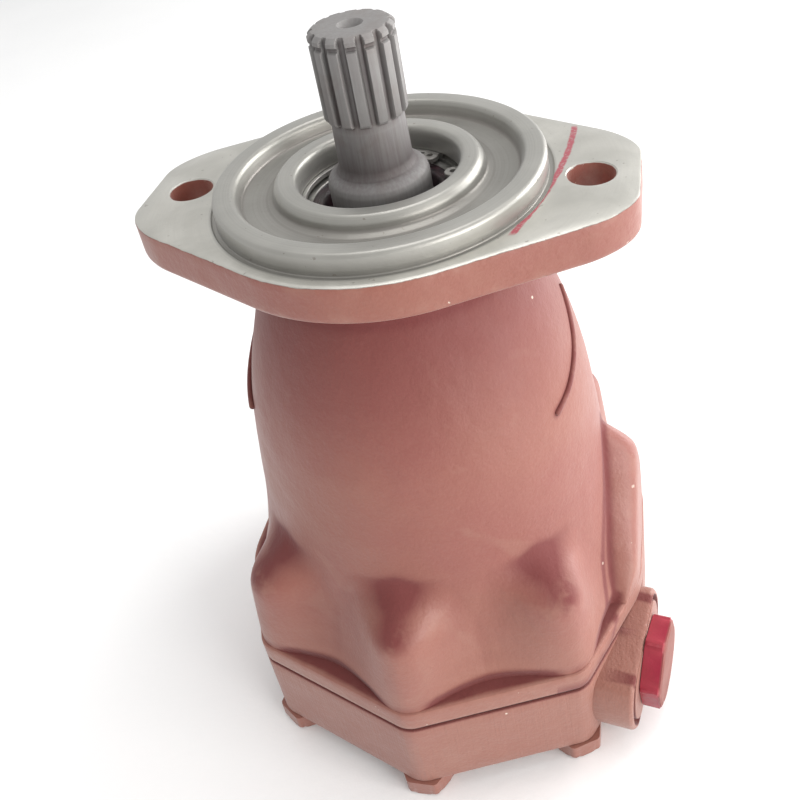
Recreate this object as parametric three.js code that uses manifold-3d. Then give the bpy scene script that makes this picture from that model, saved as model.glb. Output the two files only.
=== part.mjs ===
// Fixed-displacement axial piston unit, nine pistons, millimetres, +Z up along the shaft.
// Origin: on the shaft axis, at the underside of the cover bolt heads.
import * as THREE from 'three';
import { mergeVertices } from 'three/addons/utils/BufferGeometryUtils.js';
import Module from 'manifold-3d';

const wasm = await Module();
wasm.setup();

// ---- driving dimensions -------------------------------------------------
const GAP = 0.3;                     // clearance kept between neighbouring pieces
const DEG = Math.PI / 180;
const ROUND = 32;                    // facets of a large round piece
const SMALL = 16;                    // facets of a small round piece
const TINY = 10;                     // facets of rollers, pins and screw holes

const HEAD_HEIGHT = 8.7;             // cover bolt head
const COVER_BOTTOM = 9;
const COVER_TOP = 48;
const GASKET_THICK = 0.8;
const HOUSING_BOTTOM = COVER_TOP + GASKET_THICK + 2 * GAP;
const FACE = 249;                    // mounting face of the flange
const FLANGE_THICK = 16;
const PILOT_HEIGHT = 8;
const PILOT_RADIUS = 63.5;           // 127 mm pilot
const RING_INNER_RADIUS = 54.6;
const BOSS_RADIUS = 40.2;
const RECESS_FLOOR = FACE + 1.5;
const SEAL_BORE_RADIUS = 31;

const BOLT_SPACING = 158;            // between the two flange holes
const BOLT_HOLE_RADIUS = 8.75;
const EAR_TIP = 96.5;                // half length of the flange
const EAR_HALF_WIDTH = 27;
const EAR_CORNER = 14;               // rounding of the ear corners
const FLANGE_RADIUS = 70.5;          // round middle of the flange

// cover and housing foot: an eight-plus-two sided outline, mirrored in X and Y
const CORNER_FRONT = 105;
const CORNER_SIDE = [71.5, 77];
const CORNER_FLAT = [93.5, 26];
const CORNER_ROUND = 5;
const COVER_BOLT_CIRCLE = 94;
const COVER_BOLT_SIZE = 14;
const COVER_BOLT_FLATS = 22;
const COVER_BOLT_REACH = 82;

const LIP_HEIGHT = 10;               // full-outline lip at the foot of the housing
const PAD_FROM = 22;                  // side pad reaches this far towards -Y
const PAD_TO = 40;                    // and this far towards +Y
const CORNER_BOSS_RADIUS = 12.5;
const CORNER_BOSS_TOP = 84;
const CORNER_BOSS_PEAK = 104;
const CAVITY_RADIUS = 61;
const SWASH_SEAT = 183;              // housing shoulder that carries the swash plate
const BEARING_SEAT_RADIUS = 42.3;
const BEARING_TOP = 206;

const SWASH_ANGLE = 17 * DEG;
const SWASH_CENTRE = 157;            // where the inclined face crosses the shaft axis
const SWASH_RADIUS = 56;
const SHOE_HEIGHT = 9;               // from the swash face to the ball centres
const PISTON_COUNT = 9;
const BORE_PITCH = 42;               // pitch radius of the cylinder bores
// The ball circle lies in the inclined plane. Its radius is chosen between the circle
// and the ellipse, so that a piston stays as near as it can to its round bore circle.
const BALL_PITCH = 2 * BORE_PITCH / (1 + Math.cos(SWASH_ANGLE));
const BALL_PLANE = SWASH_CENTRE - SHOE_HEIGHT / Math.cos(SWASH_ANGLE);
const BALL_RADIUS = 7.5;
const PISTON_RADIUS = 9.65;
const PISTON_LENGTH = 66;            // ball centre to the open end
const BORE_RADIUS = 10.95;

const BLOCK_RADIUS = 56;
const BLOCK_TOP = 125;
const VALVE_PLATE_THICK = 6;
const BLOCK_BOTTOM = COVER_TOP + VALVE_PLATE_THICK + 2 * GAP;
const SPRING_POCKET_RADIUS = 26;
const SPRING_POCKET_FLOOR = 80;
const SHAFT_MIDDLE_RADIUS = 17.7;
const GUIDE_RADIUS = 22;             // sphere of the ball guide
const GUIDE_FOOT = 119;

const SHAFT_TIP = 311;
const SPLINE_END = 278;
const SPLINE_TEETH = 14;
const SPLINE_OUTER = 15.6;
const SPLINE_ROOT = 13.3;
const NECK_RADIUS = 13.6;
const COLLAR_RADIUS = 19.5;
const JOURNAL_RADIUS = 14;
const SHAFT_END = 22;

const PORT_BOSS_RADIUS = 27;
const PORT_FACE = [95.5, -46.5];      // middle of the port's face, on the +X side
const PORT_TURN = -10 * DEG;         // the way the port points, from +X
const PORT_THREAD_RADIUS = 13.3;
const PLUG_FLATS = 34.9;
const PLUG_HEAD = 9;
const DRAIN_HEIGHT = 126;
const DRAIN_FACE = 85;               // distance of the drain boss face from the axis
const DRAIN_THREAD_RADIUS = 8.6;
const DRAIN_FLATS = 22;
const DRAIN_HEAD = 7.5;
const O_RING_WIRE = 1.2;             // half the thickness of a plug's seal ring

// ---- materials ----------------------------------------------------------
function finish(color, roughness, metalness) {
  return new THREE.MeshStandardMaterial({ color, roughness, metalness });
}
const PAINT = finish(0xb26a5c, 0.6, 0.0);
const PLUG_PAINT = finish(0xb03a3c, 0.5, 0.0);
const STEEL = finish(0x8f8b86, 0.35, 0.9);
const BRONZE = finish(0xa9814a, 0.4, 0.9);
const RUBBER = finish(0x1c1b1b, 0.8, 0.0);
const GASKET = finish(0x3a2b28, 0.9, 0.0);

// ---- shape helpers ------------------------------------------------------
// A solid from any closed geometry: shared vertices merged, slivers dropped, faces out.
function solid(geometry) {
  const bare = geometry.clone();
  bare.deleteAttribute('normal');
  bare.deleteAttribute('uv');
  const merged = mergeVertices(bare, 1e-4);
  const index = Array.from(merged.index.array);
  const kept = [];
  for (let i = 0; i < index.length; i += 3) {
    const [a, b, c] = index.slice(i, i + 3);
    if (a !== b && b !== c && c !== a) {
      kept.push(a, b, c);
    }
  }
  const build = (triangles) => new wasm.Manifold(new wasm.Mesh({
    numProp: 3,
    vertProperties: new Float32Array(merged.attributes.position.array),
    triVerts: new Uint32Array(triangles),
  }));
  const body = build(kept);
  return body.volume() < 0 ? build(kept.reverse()) : body;
}

// Ring or disc turned about Z from [radius, height] points.
function turned(profile, facets = ROUND) {
  const points = profile.map(([r, z]) => new THREE.Vector2(r, z));
  if (profile[0][0] > 0) {
    points.push(points[0].clone());
  }
  const geometry = new THREE.LatheGeometry(points, facets);
  geometry.rotateX(Math.PI / 2);
  return solid(geometry);
}

function ring(inner, outer, bottom, top, facets = ROUND) {
  return turned([[inner, bottom], [outer, bottom], [outer, top], [inner, top]], facets);
}

function rod(radius, bottom, top, facets = SMALL) {
  return turned([[0, bottom], [radius, bottom], [radius, top], [0, top]], facets);
}

function prism(shape, bottom, top, curveSegments = 4) {
  const settings = { depth: top - bottom, bevelEnabled: false, curveSegments };
  const geometry = new THREE.ExtrudeGeometry(shape, settings);
  geometry.translate(0, 0, bottom);
  return solid(geometry);
}

// Closed outline with every corner replaced by a curve that starts `round` away from it.
function roundedOutline(corners, round) {
  const shape = new THREE.Shape();
  corners.forEach((corner, i) => {
    const before = corners[(i + corners.length - 1) % corners.length];
    const after = corners[(i + 1) % corners.length];
    const toward = (other) => {
      const reach = Math.min(round / Math.hypot(other[0] - corner[0], other[1] - corner[1]), 0.49);
      return [corner[0] + (other[0] - corner[0]) * reach, corner[1] + (other[1] - corner[1]) * reach];
    };
    const start = toward(before);
    const end = toward(after);
    if (i === 0) {
      shape.moveTo(...start);
    } else {
      shape.lineTo(...start);
    }
    shape.quadraticCurveTo(...corner, ...end);
  });
  shape.closePath();
  return shape;
}

function hexagon(flats) {
  const radius = flats / Math.sqrt(3);
  const corners = [...Array(6).keys()].map((i) => [
    radius * Math.cos(i * 60 * DEG), radius * Math.sin(i * 60 * DEG),
  ]);
  return roundedOutline(corners, 0.6);
}

// Kidney-shaped slot: an arc of the pitch circle with round ends.
function kidney(pitch, halfWidth, middle, halfAngle) {
  const shape = new THREE.Shape();
  const from = middle - halfAngle;
  const to = middle + halfAngle;
  shape.absarc(0, 0, pitch + halfWidth, from, to, false);
  shape.absarc(pitch * Math.cos(to), pitch * Math.sin(to), halfWidth, to, to + Math.PI, false);
  shape.absarc(0, 0, pitch - halfWidth, to, from, true);
  shape.absarc(pitch * Math.cos(from), pitch * Math.sin(from), halfWidth, from + Math.PI, from + 2 * Math.PI, false);
  return shape;
}

// Moves a solid built along +Z so that its own Z lies along `direction` from `origin`.
function aimed(body, origin, direction) {
  const turn = new THREE.Quaternion().setFromUnitVectors(
    new THREE.Vector3(0, 0, 1), direction.clone().normalize());
  const matrix = new THREE.Matrix4().compose(origin, turn, new THREE.Vector3(1, 1, 1));
  return body.transform(matrix.toArray());
}

function meshOf(name, body, material) {
  const mesh = body.getMesh();
  const geometry = new THREE.BufferGeometry();
  geometry.setAttribute('position', new THREE.BufferAttribute(mesh.vertProperties, 3));
  geometry.setIndex(new THREE.BufferAttribute(mesh.triVerts, 1));
  geometry.computeVertexNormals();
  const part = new THREE.Mesh(geometry, material);
  part.name = name;
  return part;
}

// ---- shared places ------------------------------------------------------
function footCorners(inset = 0) {
  const quarter = [
    [0, -CORNER_FRONT], [CORNER_SIDE[0], -CORNER_SIDE[1]], [CORNER_FLAT[0], -CORNER_FLAT[1]],
    [CORNER_FLAT[0], CORNER_FLAT[1]], [CORNER_SIDE[0], CORNER_SIDE[1]],
  ];
  const all = [...quarter, ...quarter.map(([x, y]) => [-x, -y])];
  return all.map(([x, y]) => {
    const scale = 1 - inset / Math.hypot(x, y);
    return [x * scale, y * scale];
  });
}

function coverBoltPlaces() {
  const side = Math.atan2(CORNER_SIDE[1], CORNER_SIDE[0]);
  const angles = [-Math.PI / 2, -side, side, Math.PI / 2, Math.PI - side, Math.PI + side];
  return angles.map((a) => [COVER_BOLT_CIRCLE * Math.cos(a), COVER_BOLT_CIRCLE * Math.sin(a)]);
}

// Port side 1 is +X and towards -Y, side -1 is diametrically opposite.
function portPlace(side) {
  const out = new THREE.Vector3(Math.cos(PORT_TURN), Math.sin(PORT_TURN), 0).multiplyScalar(side);
  const height = (COVER_TOP + COVER_BOTTOM) / 2;
  return { face: new THREE.Vector3(PORT_FACE[0] * side, PORT_FACE[1] * side, height), out };
}

const DRAIN = { face: new THREE.Vector3(0, DRAIN_FACE, DRAIN_HEIGHT), out: new THREE.Vector3(0, 1, 0) };
const PIN_PLACES = [[78, 0], [-78, 0]];
const PLATE_PIN = [0, 53];

// Threaded port with its shallow seat for the seal ring.
function cutPort(body, { face, out }, threadRadius, depth) {
  const seat = rod(threadRadius + 2 * (O_RING_WIRE + GAP) + GAP, -2 * (O_RING_WIRE + GAP), 1);
  const thread = rod(threadRadius + GAP, -depth, 1);
  return body.subtract(aimed(seat, face, out)).subtract(aimed(thread, face, out));
}

// ---- housing ------------------------------------------------------------
function flangePlate() {
  const tip = EAR_TIP;
  const w = EAR_HALF_WIDTH;
  // the ear edges run tangent to the round middle of the flange
  const lean = Math.acos(FLANGE_RADIUS / Math.hypot(tip, w)) + Math.atan2(w, tip);
  const touch = [FLANGE_RADIUS * Math.cos(lean), FLANGE_RADIUS * Math.sin(lean)];
  const corners = [
    [tip, -w], [tip, w], touch, [-touch[0], touch[1]],
    [-tip, w], [-tip, -w], [-touch[0], -touch[1]], [touch[0], -touch[1]],
  ];
  const bottom = FACE - FLANGE_THICK;
  const ears = prism(roundedOutline(corners, EAR_CORNER), bottom, FACE);
  return ears.add(rod(FLANGE_RADIUS, bottom, FACE, ROUND));
}

function housingBody() {
  return turned([
    [0, HOUSING_BOTTOM], [92, HOUSING_BOTTOM], [92, HOUSING_BOTTOM + LIP_HEIGHT],
    [88, 78], [83, 96], [77.5, 114], [74, 135], [71.5, 154], [69.5, 169], [66.5, 184],
    [62, 199], [57, 214], [52, 226], [51, FACE - FLANGE_THICK + 1],
    [PILOT_RADIUS, FACE - FLANGE_THICK + 1], [PILOT_RADIUS, FACE + PILOT_HEIGHT - 1.5],
    [PILOT_RADIUS - 1.5, FACE + PILOT_HEIGHT], [0, FACE + PILOT_HEIGHT],
  ]);
}

function cornerBoss([x, y]) {
  const boss = turned([
    [0, HOUSING_BOTTOM], [CORNER_BOSS_RADIUS, HOUSING_BOTTOM],
    [CORNER_BOSS_RADIUS, CORNER_BOSS_TOP], [0, CORNER_BOSS_PEAK],
  ], SMALL);
  return boss.translate(x, y, 0);
}

// Raised flat-sided pad on the +X side of the housing, with a sloping top.
function sidePad() {
  const outline = new THREE.Shape();
  outline.moveTo(60, HOUSING_BOTTOM);
  outline.lineTo(CORNER_FLAT[0] - 1, HOUSING_BOTTOM);
  outline.lineTo(CORNER_FLAT[0] - 2, 100);
  outline.lineTo(88, 111);
  outline.lineTo(60, 122);
  const geometry = new THREE.ExtrudeGeometry(outline, { depth: PAD_FROM + PAD_TO, bevelEnabled: false });
  geometry.translate(0, 0, -PAD_TO);
  geometry.rotateX(Math.PI / 2);
  return solid(geometry);
}

function housingCavity() {
  return turned([
    [0, HOUSING_BOTTOM - 1], [CAVITY_RADIUS, HOUSING_BOTTOM - 1], [CAVITY_RADIUS, 137],
    [SWASH_RADIUS + 1, 141], [SWASH_RADIUS + 1, SWASH_SEAT + GAP],
    [BEARING_SEAT_RADIUS, SWASH_SEAT + GAP], [BEARING_SEAT_RADIUS, BEARING_TOP + GAP],
    [27, BEARING_TOP + GAP], [27, 232], [SEAL_BORE_RADIUS, 232],
    [SEAL_BORE_RADIUS, 244.7], [33, 244.7], [33, 247.3], [SEAL_BORE_RADIUS, 247.3],
    [SEAL_BORE_RADIUS, FACE + PILOT_HEIGHT + 1], [0, FACE + PILOT_HEIGHT + 1],
  ]);
}

function makeHousing() {
  const top = FACE + PILOT_HEIGHT + 1;
  let body = housingBody().add(flangePlate());
  body = body.add(prism(roundedOutline(footCorners(), CORNER_ROUND), HOUSING_BOTTOM, HOUSING_BOTTOM + LIP_HEIGHT));
  for (const place of coverBoltPlaces()) {
    body = body.add(cornerBoss(place));
  }
  body = body.add(sidePad());
  const foot = prism(roundedOutline(footCorners(), CORNER_ROUND), HOUSING_BOTTOM - 1, FACE - FLANGE_THICK - 1);
  body = body.intersect(foot.add(rod(150, FACE - FLANGE_THICK - 2, top, ROUND)));
  body = body.add(aimed(rod(17, -20, 0), DRAIN.face, DRAIN.out));
  body = body.subtract(housingCavity());
  body = body.subtract(ring(BOSS_RADIUS, RING_INNER_RADIUS, RECESS_FLOOR, top));
  body = cutPort(body, DRAIN, DRAIN_THREAD_RADIUS, 35);
  for (const side of [-1, 1]) {
    const hole = rod(BOLT_HOLE_RADIUS, FACE - FLANGE_THICK - 1, FACE + 1);
    body = body.subtract(hole.translate(side * BOLT_SPACING / 2, 0, 0));
  }
  for (const [x, y] of coverBoltPlaces()) {
    body = body.subtract(rod(7.4, HOUSING_BOTTOM - 1, COVER_BOLT_REACH + 2, TINY).translate(x, y, 0));
  }
  for (const [x, y] of PIN_PLACES) {
    body = body.subtract(rod(3.4, HOUSING_BOTTOM - 1, 58, TINY).translate(x, y, 0));
  }
  return body;
}

// ---- end cover ----------------------------------------------------------
function makeCover() {
  let body = prism(roundedOutline(footCorners(), CORNER_ROUND), COVER_BOTTOM, COVER_TOP);
  const slab = prism(roundedOutline(footCorners(-40), 1), COVER_BOTTOM, COVER_TOP);
  for (const side of [1, -1]) {
    const { face, out } = portPlace(side);
    body = body.add(aimed(rod(PORT_BOSS_RADIUS, -30, 0, ROUND), face, out).intersect(slab));
  }
  for (const side of [1, -1]) {
    const port = portPlace(side);
    body = cutPort(body, port, PORT_THREAD_RADIUS, 20);
    body = body.subtract(aimed(rod(11, -66, 1), port.face, port.out));
    const slot = kidney(BORE_PITCH, 5, side > 0 ? 0 : Math.PI, 62 * DEG);
    body = body.subtract(prism(slot, 30, COVER_TOP + 1));
  }
  body = body.subtract(rod(25.3, 23.5, COVER_TOP + 1, ROUND));
  body = body.subtract(rod(17, 17, 24, ROUND));
  for (const [x, y] of coverBoltPlaces()) {
    body = body.subtract(rod(7.6, COVER_BOTTOM - 1, COVER_TOP + 1, TINY).translate(x, y, 0));
  }
  for (const [x, y] of PIN_PLACES) {
    body = body.subtract(rod(3.4, 40, COVER_TOP + 1, TINY).translate(x, y, 0));
  }
  return body.subtract(rod(2.9, 41, COVER_TOP + 1, TINY).translate(...PLATE_PIN, 0));
}

function makeGasket() {
  const bottom = COVER_TOP + GAP;
  const top = bottom + GASKET_THICK;
  let body = prism(roundedOutline(footCorners(1), CORNER_ROUND), bottom, top);
  body = body.subtract(rod(CAVITY_RADIUS + 1, bottom - 1, top + 1, ROUND));
  for (const [x, y] of [...coverBoltPlaces(), ...PIN_PLACES]) {
    body = body.subtract(rod(8, bottom - 1, top + 1, TINY).translate(x, y, 0));
  }
  return body;
}

function makeCoverBolt([x, y]) {
  const head = prism(hexagon(COVER_BOLT_FLATS), 0, HEAD_HEIGHT, 1);
  const shank = rod(COVER_BOLT_SIZE / 2 - 0.1, HEAD_HEIGHT - 1, COVER_BOLT_REACH, TINY);
  return head.add(shank).translate(x, y, 0);
}

function makePlug({ face, out }, flats, headHeight, threadRadius, threadLength) {
  const head = prism(hexagon(flats), GAP, GAP + headHeight, 1);
  const thread = rod(threadRadius, -threadLength, GAP + 1);
  const socket = rod(threadRadius * 0.6, -threadLength - 1, -threadLength + 6);
  return aimed(head.add(thread).subtract(socket), face, out);
}

function makeORing({ face, out }, threadRadius) {
  const middle = threadRadius + GAP + O_RING_WIRE;
  const profile = [...Array(6).keys()].map((i) => [
    middle + O_RING_WIRE * Math.cos(i * 60 * DEG),
    O_RING_WIRE * Math.sin(i * 60 * DEG) - O_RING_WIRE - GAP,
  ]);
  return aimed(turned(profile, SMALL), face, out);
}

// ---- shaft and its bearings --------------------------------------------
function splineSection() {
  const shape = new THREE.Shape();
  const pitch = 2 * Math.PI / SPLINE_TEETH;
  const corners = [[-0.34, SPLINE_ROOT], [-0.2, SPLINE_OUTER], [0.2, SPLINE_OUTER], [0.34, SPLINE_ROOT]];
  for (let tooth = 0; tooth < SPLINE_TEETH; tooth += 1) {
    corners.forEach(([part, radius], i) => {
      const angle = (tooth + part) * pitch;
      const point = [radius * Math.cos(angle), radius * Math.sin(angle)];
      if (tooth === 0 && i === 0) {
        shape.moveTo(...point);
      } else {
        shape.lineTo(...point);
      }
    });
  }
  shape.closePath();
  return shape;
}

function makeShaft() {
  const spline = prism(splineSection(), SPLINE_END, SHAFT_TIP - 1.5);
  const core = turned([
    [0, SHAFT_END], [JOURNAL_RADIUS - 1, SHAFT_END], [JOURNAL_RADIUS, SHAFT_END + 1],
    [JOURNAL_RADIUS, 58], [SHAFT_MIDDLE_RADIUS, 60], [SHAFT_MIDDLE_RADIUS, SWASH_SEAT],
    [20, SWASH_SEAT + 1], [20, BEARING_TOP + GAP], [23, BEARING_TOP + GAP], [23, 214],
    [COLLAR_RADIUS, 218], [COLLAR_RADIUS, 246], [COLLAR_RADIUS - 2.5, 249],
    [NECK_RADIUS, 250], [NECK_RADIUS, SPLINE_END], [SPLINE_ROOT - 1, SPLINE_END + 0.5],
    [SPLINE_ROOT - 1, SHAFT_TIP], [5, SHAFT_TIP], [2.5, SHAFT_TIP - 4], [0, SHAFT_TIP - 15],
  ]);
  return core.add(spline);
}

// Rollers joined by the two rings of their cage.
function rollerSet(count, pitch, radius, bottom, top) {
  let set = ring(pitch - 1.5, pitch + 1.5, bottom, bottom + 2, count);
  set = set.add(ring(pitch - 1.5, pitch + 1.5, top - 2, top, count));
  for (let i = 0; i < count; i += 1) {
    const angle = 2 * Math.PI * i / count;
    const roller = rod(radius, bottom + 0.5, top - 0.5, 8);
    set = set.add(roller.translate(pitch * Math.cos(angle), pitch * Math.sin(angle), 0));
  }
  return set;
}

function makeSeal() {
  return turned([
    [20.4, 238.6], [19.8, 237.4], [20.4, 236.2], [22.5, 233], [30.7, 233],
    [30.7, 244], [23.2, 244], [21.6, 242.4],
  ], 24);
}

// Internal snap ring: an open ring whose two ends carry eyes for the pliers.
function makeSnapRing() {
  const outer = 32.6;
  const inner = 29.4;
  const opening = 14 * DEG;
  const shape = new THREE.Shape();
  shape.absarc(0, 0, outer, opening, 2 * Math.PI - opening, false);
  shape.absarc(0, 0, inner, 2 * Math.PI - opening, opening, true);
  let body = prism(shape, 245, 247, 24);
  for (const side of [-1, 1]) {
    const place = [28 * Math.cos(side * 19 * DEG), 28 * Math.sin(side * 19 * DEG)];
    body = body.add(rod(3.4, 245, 247, 16).translate(...place, 0));
    body = body.subtract(rod(1.3, 244, 248, TINY).translate(...place, 0));
  }
  return body.rotate([0, 0, 40]);
}

// ---- rotating group -----------------------------------------------------
// Frame of the inclined plane: u points up the slope (+Y side is high), n is its normal.
const SLOPE_UP = new THREE.Vector3(0, Math.cos(SWASH_ANGLE), Math.sin(SWASH_ANGLE));
const SLOPE_ACROSS = new THREE.Vector3(-1, 0, 0);
const SLOPE_NORMAL = new THREE.Vector3(0, -Math.sin(SWASH_ANGLE), Math.cos(SWASH_ANGLE));
const BALL_CENTRE = new THREE.Vector3(0, 0, BALL_PLANE);

function ballPlace(i) {
  const angle = 2 * Math.PI * i / PISTON_COUNT;
  const place = BALL_CENTRE.clone();
  place.addScaledVector(SLOPE_UP, BALL_PITCH * Math.cos(angle));
  return place.addScaledVector(SLOPE_ACROSS, BALL_PITCH * Math.sin(angle));
}

function borePlace(i) {
  const angle = 2 * Math.PI * i / PISTON_COUNT;
  return [-BORE_PITCH * Math.sin(angle), BORE_PITCH * Math.cos(angle)];
}

function makeSwashPlate() {
  const blank = rod(SWASH_RADIUS, SWASH_CENTRE - 30, SWASH_SEAT, ROUND);
  const below = aimed(rod(90, -80, 0, SMALL), new THREE.Vector3(0, 0, SWASH_CENTRE), SLOPE_NORMAL);
  return blank.subtract(below).subtract(rod(27, 100, 200, ROUND));
}

function makeBlock() {
  let body = rod(BLOCK_RADIUS, BLOCK_BOTTOM, BLOCK_TOP, ROUND);
  body = body.subtract(rod(SHAFT_MIDDLE_RADIUS + GAP, 0, 200, ROUND));
  body = body.subtract(rod(SPRING_POCKET_RADIUS, SPRING_POCKET_FLOOR, 200, ROUND));
  for (let i = 0; i < PISTON_COUNT; i += 1) {
    const [x, y] = borePlace(i);
    body = body.subtract(rod(BORE_RADIUS, BLOCK_BOTTOM + 9, 200).translate(x, y, 0));
    body = body.subtract(rod(5, 0, 100, TINY).translate(x, y, 0));
  }
  return body;
}

function makePiston(place) {
  const ball = [...Array(6).keys()].map((i) => {
    const angle = (90 - i * 27) * DEG;
    return [BALL_RADIUS * Math.cos(angle), BALL_RADIUS * Math.sin(angle)];
  });
  const body = turned([
    [0, BALL_RADIUS], ...ball.slice(1), [4.6, -10], [PISTON_RADIUS, -13],
    [PISTON_RADIUS, -PISTON_LENGTH], [6, -PISTON_LENGTH], [6, -26], [0, -23],
  ], 12);
  return body.translate(place.x, place.y, place.z);
}

function makeSlipper(place) {
  const base = SHOE_HEIGHT - GAP;
  const socket = BALL_RADIUS + GAP + 0.2;
  const cup = [63, 36, 9, -18].map((a) => [socket * Math.cos(a * DEG), socket * Math.sin(a * DEG)]);
  const body = turned([
    [0, socket], ...cup, [9.8, -2.6], [9.8, 5.3], [12.5, 5.3], [12.5, base], [0, base],
  ], 12);
  return aimed(body, place, SLOPE_NORMAL);
}

function makeRetainer() {
  let body = ring(GUIDE_RADIUS + 0.5, 54.5, 1.6, 5, ROUND);
  for (let i = 0; i < PISTON_COUNT; i += 1) {
    const angle = 2 * Math.PI * i / PISTON_COUNT;
    const hole = rod(10.3, 0, 6);
    body = body.subtract(hole.translate(BALL_PITCH * Math.cos(angle), BALL_PITCH * Math.sin(angle), 0));
  }
  const frame = new THREE.Matrix4().makeBasis(SLOPE_UP, SLOPE_ACROSS, SLOPE_NORMAL);
  frame.setPosition(BALL_CENTRE);
  return body.transform(frame.toArray());
}

function makeBallGuide() {
  const crown = [...Array(6).keys()].map((i) => {
    const angle = (-42 + i * 13) * DEG;
    return [GUIDE_RADIUS * Math.cos(angle), BALL_PLANE + GUIDE_RADIUS * Math.sin(angle)];
  });
  const bore = SHAFT_MIDDLE_RADIUS + GAP;
  const top = crown[crown.length - 1][1];
  return turned([
    [bore, GUIDE_FOOT], [24.5, GUIDE_FOOT], [24.5, GUIDE_FOOT + 4], [20.5, GUIDE_FOOT + 9],
    [19.5, 131.5], ...crown.slice(1), [bore, top],
  ], 24);
}

class Helix extends THREE.Curve {
  constructor(radius, bottom, top, turns) {
    super();
    this.radius = radius;
    this.bottom = bottom;
    this.top = top;
    this.turns = turns;
  }

  getPoint(t, target = new THREE.Vector3()) {
    const angle = 2 * Math.PI * this.turns * t;
    const height = this.bottom + (this.top - this.bottom) * t;
    return target.set(this.radius * Math.cos(angle), this.radius * Math.sin(angle), height);
  }
}

function makeSpring() {
  const wire = new THREE.Shape();
  wire.absarc(0, 0, 1.6, 0, 2 * Math.PI, false);
  const path = new Helix(22, 84.8, 114.2, 4);
  const settings = { steps: 48, extrudePath: path, curveSegments: 3, bevelEnabled: false };
  return solid(new THREE.ExtrudeGeometry(wire, settings));
}

function makeValvePlate() {
  const bottom = COVER_TOP + GAP;
  const top = bottom + VALVE_PLATE_THICK;
  let body = ring(26, 57, bottom, top);
  for (const middle of [0, Math.PI]) {
    body = body.subtract(prism(kidney(BORE_PITCH, 5, middle, 62 * DEG), bottom - 1, top + 1));
  }
  return body.subtract(rod(2.9, bottom - 1, bottom + 3.5, TINY).translate(...PLATE_PIN, 0));
}

// ---- assembly -----------------------------------------------------------
const unit = new THREE.Group();

function place(name, body, material) {
  unit.add(meshOf(name, body, material));
}

place('housing', makeHousing(), PAINT);
place('end_cover', makeCover(), PAINT);
place('cover_gasket', makeGasket(), GASKET);
coverBoltPlaces().forEach((spot, i) => place(`cover_bolt_${i + 1}`, makeCoverBolt(spot), PAINT));
PIN_PLACES.forEach(([x, y], i) => {
  place(`dowel_pin_${i + 1}`, rod(3, 41, 57, TINY).translate(x, y, 0), STEEL);
});

[['a', 1], ['b', -1]].forEach(([letter, side]) => {
  const port = portPlace(side);
  place(`port_plug_${letter}`, makePlug(port, PLUG_FLATS, PLUG_HEAD, PORT_THREAD_RADIUS, 17), PLUG_PAINT);
  place(`port_o_ring_${letter}`, makeORing(port, PORT_THREAD_RADIUS), RUBBER);
});
place('drain_plug', makePlug(DRAIN, DRAIN_FLATS, DRAIN_HEAD, DRAIN_THREAD_RADIUS, 12), PLUG_PAINT);
place('drain_o_ring', makeORing(DRAIN, DRAIN_THREAD_RADIUS), RUBBER);

place('drive_shaft', makeShaft(), STEEL);
place('shaft_seal', makeSeal(), RUBBER);
place('seal_snap_ring', makeSnapRing(), STEEL);
place('front_bearing_outer', ring(35.8, 42, 184, BEARING_TOP), STEEL);
place('front_bearing_inner', ring(20 + GAP, 26, 184.3, BEARING_TOP), STEEL);
place('front_bearing_rollers', rollerSet(14, 30.9, 4.5, 185, 205), STEEL);
place('rear_bearing_outer', ring(20.8, 25, 24, 44), STEEL);
place('rear_bearing_rollers', rollerSet(14, 17.4, 2.9, 24.5, 43.5), STEEL);

place('swash_plate', makeSwashPlate(), STEEL);
place('shoe_retainer', makeRetainer(), STEEL);
place('cylinder_block', makeBlock(), STEEL);
place('ball_guide', makeBallGuide(), STEEL);
place('block_spring', makeSpring(), STEEL);
place('spring_washer_front', ring(SHAFT_MIDDLE_RADIUS + GAP, 25, 116.5, 118.5), STEEL);
place('spring_washer_rear', ring(SHAFT_MIDDLE_RADIUS + GAP, 25, 80.3, 82.3), STEEL);
place('valve_plate', makeValvePlate(), BRONZE);
place('valve_plate_pin', rod(2.5, 42, 51, TINY).translate(...PLATE_PIN, 0), STEEL);
for (let i = 0; i < PISTON_COUNT; i += 1) {
  place(`piston_${i + 1}`, makePiston(ballPlace(i)), STEEL);
  place(`slipper_${i + 1}`, makeSlipper(ballPlace(i)), BRONZE);
}

export default unit;
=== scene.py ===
import math

import bmesh
import bpy
import numpy as np
from mathutils import Matrix, Vector


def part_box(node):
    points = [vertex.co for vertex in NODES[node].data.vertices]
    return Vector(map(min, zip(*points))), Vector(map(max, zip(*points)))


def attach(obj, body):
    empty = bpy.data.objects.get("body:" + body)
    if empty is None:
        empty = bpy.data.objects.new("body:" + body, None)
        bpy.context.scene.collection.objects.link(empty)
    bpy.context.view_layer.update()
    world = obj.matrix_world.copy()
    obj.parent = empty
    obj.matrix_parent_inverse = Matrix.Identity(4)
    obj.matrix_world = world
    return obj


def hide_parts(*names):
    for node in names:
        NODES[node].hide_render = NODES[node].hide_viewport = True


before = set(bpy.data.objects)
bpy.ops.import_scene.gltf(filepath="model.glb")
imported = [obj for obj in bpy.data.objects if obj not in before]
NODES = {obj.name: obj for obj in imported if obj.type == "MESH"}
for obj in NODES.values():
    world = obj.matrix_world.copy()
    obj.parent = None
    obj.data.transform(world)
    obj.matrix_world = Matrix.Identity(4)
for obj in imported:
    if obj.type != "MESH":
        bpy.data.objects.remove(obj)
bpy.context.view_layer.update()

# ---- driving dimensions, in millimetres; the frame gives where things are ----
MM = 0.001
DEG = math.pi / 180


def span(node):
    """Lowest and highest corner of a CAD node, in millimetres."""
    low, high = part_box(node)
    return np.array(low) / MM, np.array(high) / MM


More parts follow.
